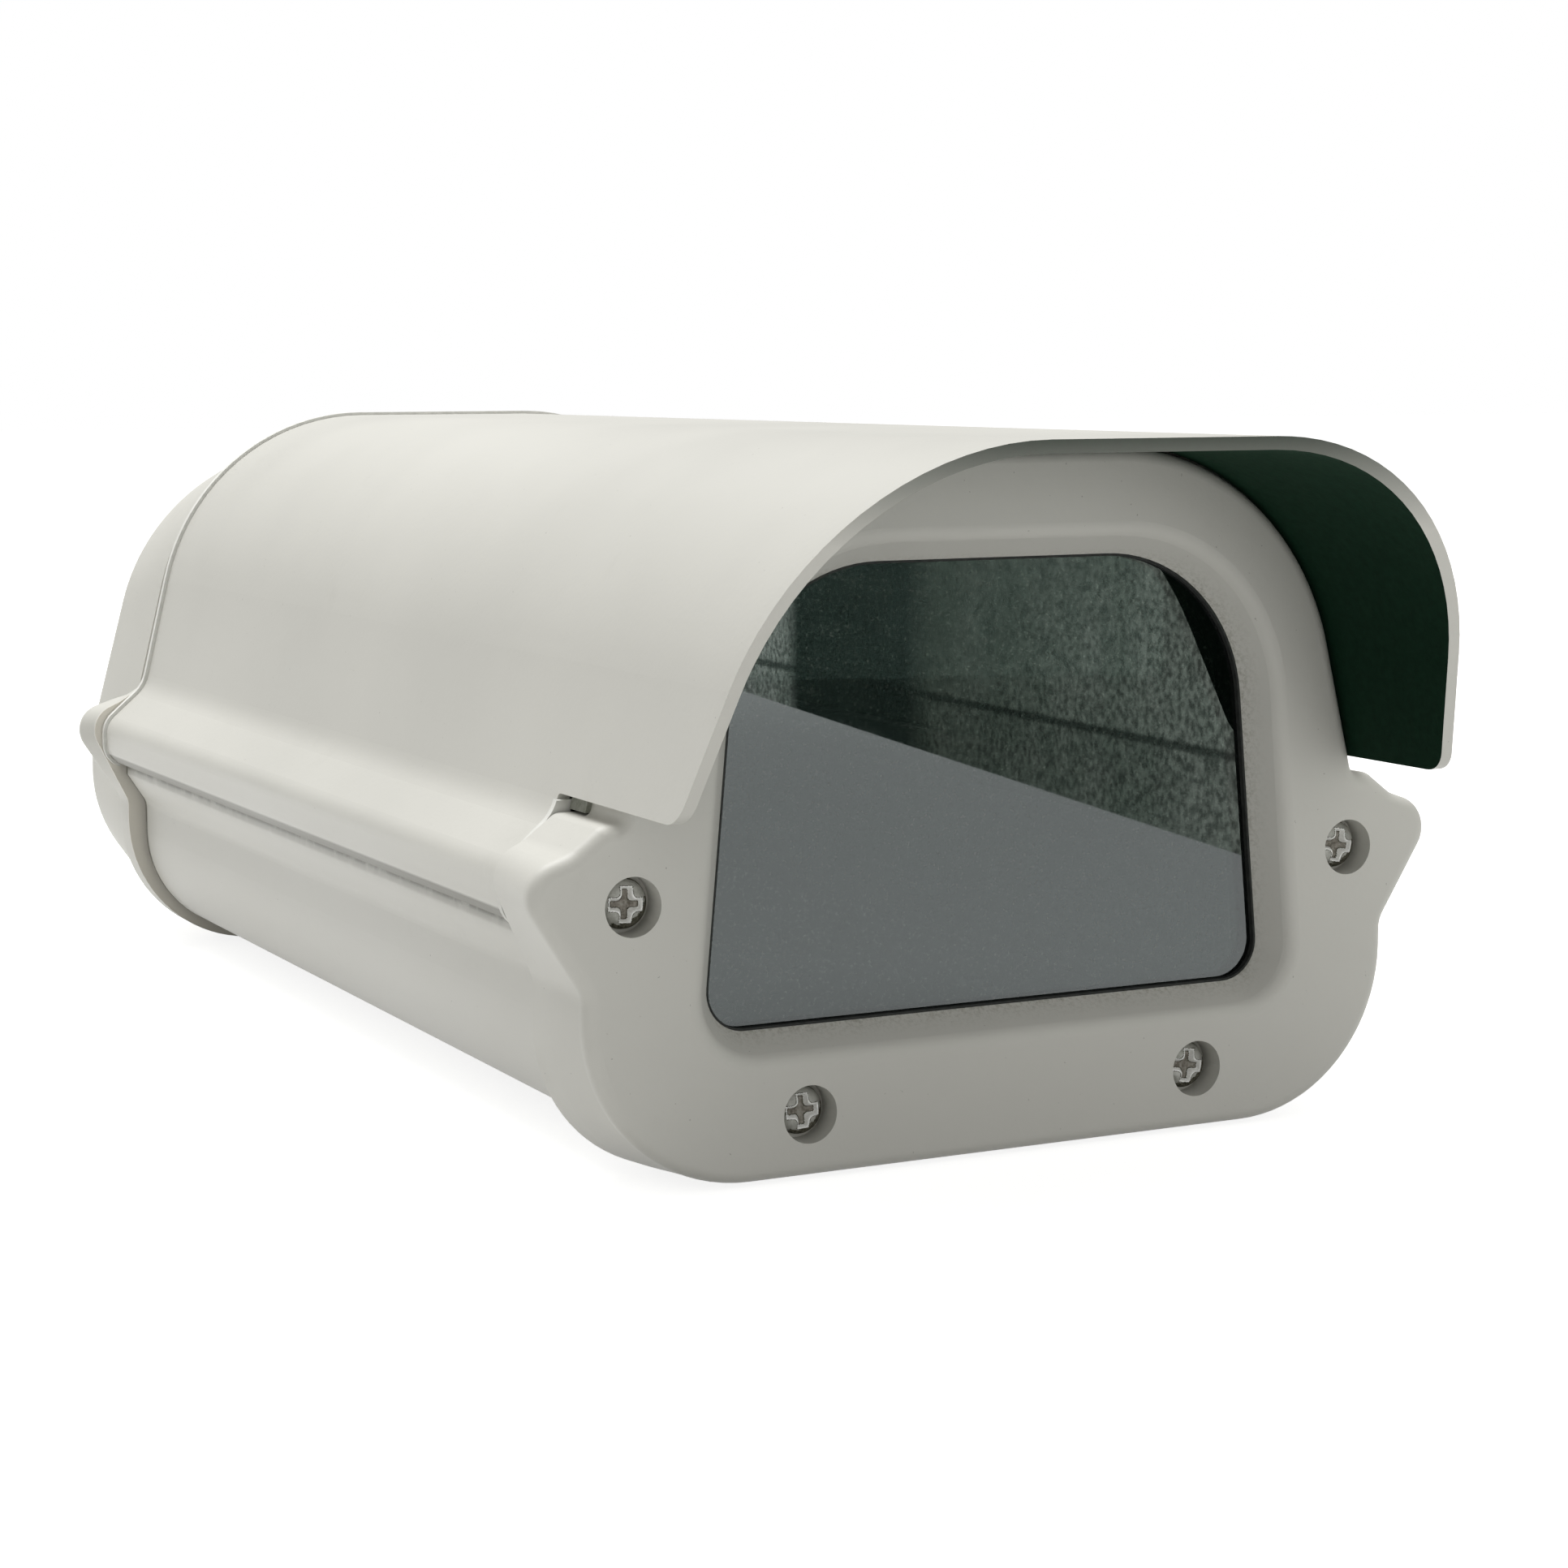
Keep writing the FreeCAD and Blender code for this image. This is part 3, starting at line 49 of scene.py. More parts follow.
class Finish:
    """A material, and short calls that lay out its nodes.

    A call that makes a pattern returns the socket that carries it. Where a call takes a
    pattern, a plain number or an RGB colour does too.
    """

    def __init__(self, name):
        self.material = bpy.data.materials.new(name)
        self.material.use_nodes = True
        self.tree = self.material.node_tree
        self.tree.nodes.clear()
        self.shader = self.node("ShaderNodeBsdfPrincipled")
        self.node("ShaderNodeOutputMaterial", Surface=self.shader.outputs["BSDF"])
        coordinates = self.node("ShaderNodeTexCoord")
        self.place = coordinates.outputs["Object"]
        self.normal = coordinates.outputs["Normal"]

    def feed(self, source, target):
        """Link a socket to an input, or put a number or a colour on that input."""
        if isinstance(source, bpy.types.NodeSocket):
            self.tree.links.new(source, target)
        elif isinstance(source, tuple):
            target.default_value = (*source, 1.0)
        else:
            target.default_value = source

    def fill(self, node, values):
        """Feed a node's inputs by name, with _ for a space in the name."""
        for name, value in values.items():
            self.feed(value, node.inputs[name.replace("_", " ")])

    def node(self, kind, **values):
        """A new node with some of its inputs fed."""
        node = self.tree.nodes.new(kind)
        self.fill(node, values)
        return node

    def set(self, **values):
        """Feed the shader's own inputs."""
        self.fill(self.shader, values)

    def present(self, name):
        """The socket that now feeds one of the shader's inputs."""
        return self.shader.inputs[name].links[0].from_socket

    def noise(self, scale, detail, roughness):
        """Noise over the object, with scale in waves per metre."""
        return self.node("ShaderNodeTexNoise", Vector=self.place, Scale=scale, Detail=detail,
                         Roughness=roughness).outputs["Fac"]

    def ramp(self, source, *stops):
        """Colours along a pattern, from stops of (place, colour)."""
        node = self.node("ShaderNodeValToRGB", Fac=source)
        elements = node.color_ramp.elements
        while len(elements) < len(stops):
            elements.new(0.5)
        for element, (place, colour) in zip(elements, stops):
            element.position = place
            element.color = (*colour, 1.0)
        return node.outputs["Color"]

    def spread(self, source, low, high, out_low=0.0, out_high=1.0):
        """A pattern with its range from low to high spread over another range."""
        return self.node("ShaderNodeMapRange", Value=source, From_Min=low, From_Max=high,
                         To_Min=out_low, To_Max=out_high).outputs["Result"]

    def math(self, kind, first, second):
        """One step of arithmetic on patterns or numbers."""
        node = self.tree.nodes.new("ShaderNodeMath")
        node.operation = kind
        self.feed(first, node.inputs[0])
        self.feed(second, node.inputs[1])
        return node.outputs["Value"]

    def mix(self, share, first, second, kind="RGBA", blend="MIX"):
        """The second over the first, by a share from 0 to 1."""
        node = self.tree.nodes.new("ShaderNodeMix")
        node.data_type = kind
        node.blend_type = blend
        self.fill(node, {"Factor": share, "A": first, "B": second})
        return node.outputs["Result"]

    def bump(self, height, strength, depth):
        """Relief from a pattern; depth is in metres."""
        self.set(Normal=self.node("ShaderNodeBump", Strength=strength, Distance=depth,
                                  Height=height).outputs["Normal"])

    def along(self, axis, span, *stops):
        """Levels along one of the object's axes: stops of (share of the span, level)."""
        parts = self.node("ShaderNodeSeparateXYZ", Vector=self.place)
        share = self.spread(parts.outputs[axis], *span)
        return self.ramp(share, *((place, (level,) * 3) for place, level in stops))

    def soil(self, colour, *masks):
        """Lay a colour over the present colour where all the masks are bright: dirt, painted
        shade or a band.
        """
        amount = masks[0]
        for mask in masks[1:]:
            amount = self.math("MULTIPLY", amount, mask)
        self.set(Base_Color=self.mix(amount, self.present("Base Color"), colour))

    def wear(self, *names):
        """Give CAD nodes this finish, in a single slot."""
        for name in names:
            materials = nodes[name].data.materials
            materials.clear()
            materials.append(self.material)


def powder_coat(name, roughness):
    """Satin powder coat: fine orange peel, faint clouds in the colour and a few specks."""
    coat = Finish(name)
    clouds = coat.noise(9.0, 4.0, 0.55)
    soiled = coat.spread(coat.noise(46.0, 6.0, 0.7), 0.62, 0.80, 0.0, 0.16)
    specks = coat.spread(coat.noise(1500.0, 1.0, 0.4), 0.800, 0.830, 0.0, 0.45)
    tone = coat.ramp(clouds, (0.32, PAINT_SHADE), (0.68, PAINT))
    tone = coat.mix(specks, coat.mix(soiled, tone, PAINT_SOILED), PAINT_SPECK)
    coat.set(Base_Color=tone, IOR=1.48, Specular_IOR_Level=0.42,
             Roughness=coat.spread(clouds, 0.3, 0.7, roughness - 0.05, roughness + 0.06))
    peel, waves = coat.noise(900.0, 2.0, 0.5), coat.noise(70.0, 2.0, 0.5)
    coat.bump(coat.math("ADD", peel, coat.math("MULTIPLY", waves, 0.8)), 0.20, 0.00012)
    return coat


# The dark colour laid as painted shade at seams and joints, on the tray and on the cover.
PAINTED_SHADE = (0.060, 0.056, 0.034)
SEAM_X, SEAM_Z = (-0.0745, -0.0715), (0.0355, 0.0415)    # under the cover's left lip
REAR_END_Y = (0.1160, 0.1182)                            # ahead of the rear gasket

extruded_paint = powder_coat("extruded_paint", 0.44)
patches = extruded_paint.spread(extruded_paint.noise(160.0, 5.0, 0.7), 0.32, 0.52, 0.45, 1.0)
# Painted shade: the tray's wall is darkened in patches just under the cover's left lip, where
# the seam's shadow falls.
extruded_paint.soil(
    PAINTED_SHADE, patches,
    extruded_paint.along("Z", SEAM_Z, (0.0, 0.0), (0.45, 0.16), (0.58, 0.42), (0.66, 0.92),
                         (1.0, 0.95)),
    extruded_paint.along("X", SEAM_X, (0.0, 1.0), (1.0, 0.0)))
# Painted shade: the tray is darkened in patches just ahead of the rear gasket, where it meets
# the rear cap.
extruded_paint.soil(
    PAINTED_SHADE, patches,
    extruded_paint.along("Y", REAR_END_Y, (0.35, 0.0), (0.55, 0.85), (1.0, 0.9)))
extruded_paint.wear("tray")


# Tray end gaskets and length seals: black sealing rubber, cut or extruded, pressed
# between the tray and the end caps and laid along the ports under the cover's walls.

def grained(name, waves, stops, relief=None, gloss=None, **values):
    """A finish whose colour, relief and gloss all follow one grain.

    waves are the arguments of noise, relief is (strength, depth) and gloss is the
    roughness in the grain's dark and bright parts.
    """
    finish = Finish(name)
    grain = finish.noise(*waves)
    finish.set(Base_Color=finish.ramp(grain, *stops), **values)
    if relief:
        finish.bump(grain, *relief)
    if gloss:
        finish.set(Roughness=finish.spread(grain, 0.3, 0.7, *gloss))
    return finish


black_rubber = grained("black_rubber", (700.0, 3.0, 0.6),
                       [(0.3, (0.012, 0.014, 0.013)), (0.7, (0.030, 0.032, 0.030))],
                       relief=(0.35, 0.00010), Roughness=0.72, Specular_IOR_Level=0.30)
black_rubber.wear("tray_end_gaskets", "length_seals")


# Front cap: a die casting in the same grey, with the window's rounded bezel, four
# counterbored screw holes and an arch that slides under the cover. Dust and crumbs of
# dirt have settled round the pane, deep in the window's recess.

RECESS_CRUMBS = (0.150, 0.145, 0.085)
WINDOW_X, WINDOW_Z = (-0.060, 0.060), (0.0, 0.115)
RECESS_Y = (-0.1300, -0.1200)

cast_paint = powder_coat("cast_paint", 0.47)
cast_paint.soil(
    RECESS_CRUMBS,
    cast_paint.spread(cast_paint.noise(1500.0, 5.0, 0.75), 0.46, 0.60),
    cast_paint.along("X", WINDOW_X, (0.06, 0.0), (0.10, 1.0), (0.90, 1.0), (0.94, 0.0)),
    cast_paint.along("Z", WINDOW_Z, (0.13, 0.0), (0.16, 1.0), (0.80, 1.0), (0.84, 0.0)),
    cast_paint.along("Y", RECESS_Y, (0.21, 0.0), (0.42, 0.15), (0.63, 0.50), (0.72, 0.60),
                     (0.80, 0.0)))
cast_paint.wear("front_cap")


# Window: a float glass pane on a black rubber gasket. A black clamp frame behind it is
# held by four small screws. Dust dulls the glass, and the pane's own colour is near black
# as painted shade, so that the inside behind it looks dark.

black_rubber.wear("window_gasket")

# Painted shade: the glass colours are near black and stand in for the dark inside.
GLASS_SHADE_DARK, GLASS_SHADE_LIGHT = (0.045, 0.070, 0.057), (0.065, 0.095, 0.082)
GLASS_DUST = (0.46, 0.50, 0.42)

glass = Finish("window_glass")
haze = glass.noise(14.0, 3.0, 0.6)
dust = glass.spread(glass.noise(1500.0, 4.0, 0.75), 0.56, 0.72)
shade_tint = glass.ramp(haze, (0.30, GLASS_SHADE_DARK), (0.70, GLASS_SHADE_LIGHT))
glass.set(Base_Color=glass.mix(dust, shade_tint, GLASS_DUST),
          Transmission_Weight=glass.spread(dust, 0.0, 1.0, 0.985, 0.960),
          Roughness=glass.spread(haze, 0.30, 0.70, 0.0, 0.030),
          IOR=1.80, Specular_IOR_Level=0.5, Specular_Tint=(0.92, 0.99, 1.0))
glass.wear("window_glass")

black_plastic = grained("black_plastic", (420.0, 3.0, 0.55),
                        [(0.3, (0.016, 0.020, 0.018)), (0.7, (0.030, 0.036, 0.032))],
                        relief=(0.2, 0.00008), Roughness=0.5)
black_plastic.wear("glass_frame")


# Rear cap: the deeper die casting at the back, in the same grey, with two cable holes.
# A light tan band is laid on its flange, where the cover's rear seal sits.

FLANGE_TAN = (0.82, 0.78, 0.69)
FLANGE_Y = (0.1188, 0.1205)

cast_paint.soil(FLANGE_TAN, cast_paint.along("Y", FLANGE_Y, (0.30, 0.0), (0.36, 0.75),
                                              (0.62, 0.75), (0.70, 0.0)))
cast_paint.wear("rear_cap")


# Cable glands: moulded grey polyamide bodies, dome nuts and lock nuts, each with a soft
# black seal inside. They are screwed into the rear cap.

gland_plastic = grained("gland_plastic", (300.0, 4.0, 0.6),
                        [(0.3, (0.215, 0.218, 0.215)), (0.7, (0.270, 0.272, 0.266))],
                        relief=(0.25, 0.00010), Roughness=0.48)
gland_plastic.wear("gland_bodies", "gland_nuts", "gland_lock_nuts")
black_rubber.wear("gland_seals")


# Plates on the tray's floor: zinc plated sheet steel. The lower one spreads the load of
# the bracket's bolts and is riveted down; the upper one carries the camera.

ZINC_DARK, ZINC_LIGHT = (0.50, 0.51, 0.52), (0.62, 0.63, 0.64)
SPANGLES_PER_METRE = 260.0

zinc = Finish("zinc_plate")
spangle = zinc.node("ShaderNodeTexVoronoi", Vector=zinc.place,
                    Scale=SPANGLES_PER_METRE).outputs["Distance"]
zinc.set(Base_Color=zinc.ramp(spangle, (0.0, ZINC_DARK), (1.0, ZINC_LIGHT)),
         Roughness=zinc.spread(spangle, 0.0, 1.0, 0.30, 0.46), Metallic=0.9)
zinc.wear("mounting_plate", "bracket_plate")


# Screws: stainless pan-head screws with cross recesses. They hold the caps, the cover,
# the plates and the clamp frame. The heads on the outside have tapered recesses whose
# edges are near white as a painted highlight. Dirt has settled in the recesses; near-black
# dirt, partly painted shade, runs beside those edges, round the heads' rims and in a
# crescent low on one side of each head, where it meets its counterbore.

steel = grained("screw_steel", (240.0, 5.0, 0.6),
                [(0.30, (0.46, 0.44, 0.41)), (0.60, (0.66, 0.65, 0.63))],
                relief=(0.15, 0.00006), gloss=(0.22, 0.42), Metallic=1.0)
steel.wear("plate_screws", "glass_frame_screws", "camera_screw", "camera_screw_nut",
           "bracket_plate_rivets")

head_steel = grained("screw_head_steel", (700.0, 6.0, 0.7),
                     [(0.34, (0.34, 0.34, 0.305)), (0.56, (0.50, 0.50, 0.465))],
                     relief=(0.3, 0.00008), gloss=(0.62, 0.45), Metallic=0.35)
# Painted highlight: near-white colour on the edges of the cross recess.
painted_highlight_edge = grained("screw_worn_edge", (2600.0, 3.0, 0.6),
                    [(0.35, (0.80, 0.80, 0.77)), (0.60, (0.95, 0.95, 0.93))],
                    Metallic=0.15, Roughness=0.34)
# Dirt and painted shade: near-black on the recess's lower flank, beside its edge, round the
# rim and in a crescent where the head meets its counterbore.
head_dirt_and_shade = grained("screw_dirt_and_shade", (2400.0, 6.0, 0.75),
                    [(0.36, (0.018, 0.020, 0.012)), (0.50, (0.075, 0.070, 0.048)),
                     (0.66, (0.190, 0.185, 0.150))],
                    relief=(0.6, 0.00018), Roughness=0.85, Specular_IOR_Level=0.3)
recess_dirt = grained("recess_dirt", (1300.0, 5.0, 0.7),
                      [(0.36, (0.130, 0.120, 0.095)), (0.50, (0.235, 0.215, 0.185)),
                       (0.64, (0.330, 0.320, 0.280))],
                      relief=(0.5, 0.00015), Roughness=0.8, Specular_IOR_Level=0.3)
HEAD_FINISHES = (head_steel, painted_highlight_edge, head_dirt_and_shade, recess_dirt)
BARE, HIGHLIGHTED, DIRT_AND_SHADE, PACKED = range(4)

RINGS, STEPS, RING_SPACING = 42, 120, 0.92
HEAD_HEIGHT, HEAD_SKIRT, SHANK_RADIUS = 0.0026, 0.0008, 0.0020
DOME_FLATNESS, DOME_SHOULDER = 2.6, 0.55
RECESS_REACH, RECESS_HALF = 0.70, 0.235          # the cross's arms, in head radii
CORNER_BLEND, CORNER_FILL = 1.1, 0.25            # its rounded inner corners, in half widths
RECESS_DEPTH, RECESS_TAPER, LEAST_DEPTH = 0.00150, 0.36, 0.0009
FLANK_WIDTH = 0.00050                            # the recess's sloping side
BURR_HEIGHT, BURR_WIDTH = 0.00004, 0.00012       # the bead raised along its edge
POINT_LENGTH, POINT_RADIUS = 0.3, 0.7            # the chamfered tip, in shank radii
RAGGED, RAGGED_TURNS, RAGGED_WAVES, RAGGED_SEED = 0.16, 5.0, 4200.0, 40.0
DARK_LINE, DARK_LINE_SWAY = 0.00020, 0.0003      # beside the painted highlight on the recess's edge
DIRT_AND_SHADE_SIDE = -0.95                               # in radians: low down on the right
SIDE_FROM, SIDE_REACH, RIM_FROM, RIM_SWAY = 0.25, 0.36, 0.975, 0.2


def recess_distance(x, y, radius):
    """Signed distance from a cross with rounded inner corners; negative inside."""
    reach, half = radius * RECESS_REACH, radius * RECESS_HALF
    along = max(abs(x) - reach, abs(y) - half)
    across = max(abs(y) - reach, abs(x) - half)
    blend = half * CORNER_BLEND
    share = max(blend - abs(along - across), 0.0) / blend
    return min(along, across) - share * share * blend * CORNER_FILL


def head_level(r, inside, radius):
    """Height of the head's surface, r from its middle and inside from the recess's edge."""
    dome = (1.0 - (r / radius) ** DOME_FLATNESS) ** DOME_SHOULDER
    sunk = min(max(-inside / FLANK_WIDTH, 0.0), 1.0)
    sunk = sunk * sunk * (3.0 - 2.0 * sunk)
    return (HEAD_SKIRT + (HEAD_HEIGHT - HEAD_SKIRT) * dome
            - sunk * max(RECESS_DEPTH - RECESS_TAPER * r, LEAST_DEPTH)
            + BURR_HEIGHT * math.exp(-(inside / BURR_WIDTH) ** 2))


def head_zone(r, inside, angle, radius, turn):
    """Which of the head's finishes a spot has: packed recess, painted highlight, dirt with
    painted shade, or bare.
    """
    ragged = RAGGED * noise.noise(Vector((angle * RAGGED_TURNS, r * RAGGED_WAVES,
                                          turn * RAGGED_SEED)))
    toward_dark_side = math.cos(angle - DIRT_AND_SHADE_SIDE) + ragged
    if inside < -FLANK_WIDTH * 1.05:
        return PACKED
    if inside < -FLANK_WIDTH * 0.80:
        return DIRT_AND_SHADE
    if inside < BURR_WIDTH:
        return HIGHLIGHTED
    if inside < DARK_LINE + ragged * DARK_LINE_SWAY:
        return DIRT_AND_SHADE
    if toward_dark_side > SIDE_FROM and r > radius * (1.00 - SIDE_REACH * toward_dark_side + ragged):
        return DIRT_AND_SHADE
    return DIRT_AND_SHADE if r > radius * (RIM_FROM + RIM_SWAY * ragged) else BARE


def band(mesh, inner, outer):
    """Faces from one ring of points to the next, or from a middle point to a ring."""
    faces = []
    for step in range(len(outer)):
        following = (step + 1) % len(outer)
        corners = [inner[step % len(inner)], outer[step], outer[following]]
        if len(inner) > 1:
            corners.append(inner[following])
        faces.append(mesh.faces.new(corners))
    return faces


def pan_screw(mesh, radius, length, turn):
    """A pan-head screw with its seat at Z = 0 and the shank below, added to a bmesh."""
    angles = [2.0 * math.pi * step / STEPS for step in range(STEPS)]
    inner = []
    for ring in range(RINGS + 1):
        r = radius * (ring / RINGS) ** RING_SPACING
        outer, depths = [], []
        for angle in angles if ring else angles[:1]:
            inside = recess_distance(r * math.cos(angle - turn), r * math.sin(angle - turn),
                                     radius)
            outer.append(mesh.verts.new((r * math.cos(angle), r * math.sin(angle),
                                         head_level(r, inside, radius))))
            depths.append(inside)
        if ring:
            for face, inside, angle in zip(band(mesh, inner, outer), depths, angles):
                face.material_index = head_zone(r, inside, angle, radius, turn)
        inner = outer
    for r, z in ((radius, 0.0), (SHANK_RADIUS, 0.0),
                 (SHANK_RADIUS, -length + SHANK_RADIUS * POINT_LENGTH),
                 (SHANK_RADIUS * POINT_RADIUS, -length)):
        outer = [mesh.verts.new((r * math.cos(angle), r * math.sin(angle), z))
                 for angle in angles]
        band(mesh, inner, outer)
        inner = outer
    mesh.faces.new(inner[::-1])


def put_in(name, shape, finishes, body, node):
    """Turn a bmesh into a piece that rides on a body and stands for a CAD node."""
    mesh = bpy.data.meshes.new(name)
    shape.to_mesh(mesh)
    shape.free()
    for finish in finishes:
        mesh.materials.append(finish.material)
    piece = bpy.data.objects.new(name, mesh)
    bpy.context.scene.collection.objects.link(piece)
    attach(piece, body)
    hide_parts(node)


def set_screws(name, body, node, radius, length, spots, facing):
    """One piece with a screw at each spot of (place, turn of its recess)."""
    whole = bmesh.new()
    for place, turn in spots:
        single = bmesh.new()
        pan_screw(single, radius, length, turn)
        single.transform(Matrix.Translation(place) @ facing)
        loose = bpy.data.meshes.new("loose_screw")
        single.to_mesh(loose)
        single.free()
        whole.from_mesh(loose)
        bpy.data.meshes.remove(loose)
    bmesh.ops.recalc_face_normals(whole, faces=whole.faces[:])
    for face in whole.faces:
        face.smooth = True
    put_in(name, whole, HEAD_FINISHES, body, node)


CAP_HEAD_RADIUS, COVER_HEAD_RADIUS = 0.0039, 0.0035
FRONT_LENGTH, REAR_LENGTH, COVER_LENGTH = 0.024, 0.017, 0.012
EAR_X, EAR_Z, LOW_X, LOW_Z = 0.0650, 0.0450, 0.0355, 0.0104
FRONT_SEAT_Y, REAR_SEAT_Y = -0.12465, 0.12765
LIP_SPOTS = (((0.0733, -0.0836, 0.0465), 0.5), ((0.0733, 0.0924, 0.0465), -0.2))
TO_FRONT = Matrix.Rotation(math.radians(90.0), 4, "X")
TO_REAR = Matrix.Rotation(math.radians(-90.0), 4, "X")
UPWARDS = Matrix.Identity(4)
CAP_SPOTS = ((-EAR_X, EAR_Z, -0.08), (-LOW_X, LOW_Z, 0.02), (LOW_X, LOW_Z, -0.17),
             (EAR_X, EAR_Z, -0.20))

set_screws("front_cap_screw_set", "body", "front_cap_screws", CAP_HEAD_RADIUS, FRONT_LENGTH,
           [((x, FRONT_SEAT_Y, z), turn) for x, z, turn in CAP_SPOTS], TO_FRONT)
set_screws("rear_cap_screw_set", "body", "rear_cap_screws", CAP_HEAD_RADIUS, REAR_LENGTH,
           [((x, REAR_SEAT_Y, z), turn * 1.7) for x, z, turn in CAP_SPOTS], TO_REAR)
set_screws("cover_screw_set", "cover", "cover_screws", COVER_HEAD_RADIUS, COVER_LENGTH,
           LIP_SPOTS, UPWARDS)


# Arch seal: a strip of moss-grey sealing rubber stuck on the step round the front cap's
# arch, where the cover closes on it. Its two feet reach a little further down and out
# than the CAD strip's, so that no slit stays open beside the arch.

FEET_BELOW_Z, FEET_BEYOND_X = 0.0601, 0.065
FEET_DOWN, FEET_OUT = 0.0023, 1.019

moss_rubber = grained("moss_rubber", (650.0, 4.0, 0.65),
                      [(0.3, (0.190, 0.200, 0.165)), (0.7, (0.330, 0.335, 0.290))],
                      relief=(0.4, 0.00012), Roughness=0.75)
strip = bmesh.new()
strip.from_mesh(nodes["arch_seal"].data)
for vertex in strip.verts:
    if vertex.co.z < FEET_BELOW_Z:
        vertex.co.z -= FEET_DOWN
        if abs(vertex.co.x) > FEET_BEYOND_X:
            vertex.co.x *= FEET_OUT
put_in("arch_seal_strip", strip, [moss_rubber], "body", "arch_seal")


# Cover: one aluminium extrusion with the arch, the sun visor and the two lips. Outside it
# is powder coated grey; ahead of the front cap the visor's underside is near-black green,
# part dark coat and part painted shade. Painted shade also darkens the left lip's bottom and,
# in patches, the cover's front end low at the visor's left corner.

VISOR_DARK, VISOR_LIGHT = (0.0016, 0.0110, 0.0050), (0.0040, 0.0200, 0.0100)
VISOR_SHEEN, CORNER_PAINTED_SHADE = (0.30, 0.50, 0.36), (0.035, 0.033, 0.022)
ARCH_CENTRE_Z = 0.066
VISOR_DARK_END_Y = (-0.1270, -0.1260)
LIP_X, LIP_Z = (-0.0760, -0.0700), (0.0415, 0.0435)
CORNER_X, CORNER_Y, CORNER_Z = (-0.0720, -0.0560), (-0.1730, -0.1710), (0.0400, 0.0700)


def visor_inside(coat):
    """1 on the visor's inner face and 0 elsewhere, from the place and the normal."""
    here = coat.node("ShaderNodeSeparateXYZ", Vector=coat.place).outputs
    facing = coat.node("ShaderNodeSeparateXYZ", Vector=coat.normal).outputs
    across = coat.math("MULTIPLY", here["X"], facing["X"])
    rise = coat.math("SUBTRACT", here["Z"], ARCH_CENTRE_Z)
    outward = coat.math("ADD", across, coat.math("MULTIPLY", rise, facing["Z"]))
    return coat.math("MULTIPLY", coat.spread(outward, -0.012, -0.018),
                     coat.along("Y", VISOR_DARK_END_Y, (0.0, 1.0), (1.0, 0.0)))


cover_paint = powder_coat("cover_paint", 0.42)
# Painted shade: the left lip's bottom edge is darkened over the seam below it.
cover_paint.soil(
    PAINTED_SHADE,
    cover_paint.along("Z", LIP_Z, (0.36, 0.80), (0.62, 0.0)),
    cover_paint.along("X", LIP_X, (0.0, 1.0), (0.9, 1.0), (1.0, 0.0)))
# Painted shade: the cover's front end face, low at the visor's left corner, is darkened in
# patches.
cover_paint.soil(
    CORNER_PAINTED_SHADE,
    cover_paint.spread(cover_paint.noise(420.0, 5.0, 0.7), 0.42, 0.54),
    cover_paint.along("Y", CORNER_Y, (0.10, 1.0), (0.45, 0.0)),
    cover_paint.along("X", CORNER_X, (0.0, 1.0), (0.70, 0.9), (1.0, 0.0)),
    cover_paint.along("Z", CORNER_Z, (0.0, 1.0), (0.65, 0.9), (1.0, 0.0)))
inside = visor_inside(cover_paint)
# Part dark coat, part painted shade: near-black green on the visor's underside ahead of the
# cap.
visor_coat_and_shade = cover_paint.ramp(cover_paint.noise(600.0, 4.0, 0.7), (0.3, VISOR_DARK),
                         (0.7, VISOR_LIGHT))
cover_paint.set(
    Base_Color=cover_paint.mix(inside, cover_paint.present("Base Color"), visor_coat_and_shade),
    Roughness=cover_paint.mix(inside, cover_paint.present("Roughness"), 0.9, kind="FLOAT"),
    Specular_Tint=cover_paint.mix(inside, (1.0, 1.0, 1.0), VISOR_SHEEN))
cover_paint.wear("cover")


# Cover end seals: pale beads of soft sealing rubber, round the cover's rear end and at
# the front ends of its two lips, where the cover meets the caps.

pale_rubber = grained("pale_rubber", (600.0, 4.0, 0.65),
                      [(0.25, (0.66, 0.66, 0.62)), (0.70, (0.78, 0.78, 0.74))],
                      relief=(0.4, 0.00012), Roughness=0.7)
pale_rubber.wear("cover_front_seals", "cover_rear_seal")


# Floor and world: plain matt white. The camera, polished surfaces and glass see them as
# plain white, the floor keeps the object's shadow, and the world lights it gently.

GROUND_TONE, GROUND_LIFT = (0.60, 0.60, 0.59, 1.0), 0.82
GROUND_SIZE, GROUND_Z = 12.0, -0.0002
FILL_TONE, FILL_STRENGTH = (1.0, 0.995, 0.98, 1.0), 0.46
BACKDROP_TONE, BACKDROP_STRENGTH = (1.0, 1.0, 1.0, 1.0), 1.0


def seen_by(tree, first_ray, second_ray):
    """1 for two kinds of ray and 0 for the others."""
    path = tree.nodes.new("ShaderNodeLightPath")
    either = tree.nodes.new("ShaderNodeMath")
    either.operation = "MAXIMUM"
    tree.links.new(path.outputs[first_ray], either.inputs[0])
    tree.links.new(path.outputs[second_ray], either.inputs[1])
    return either.outputs["Value"]


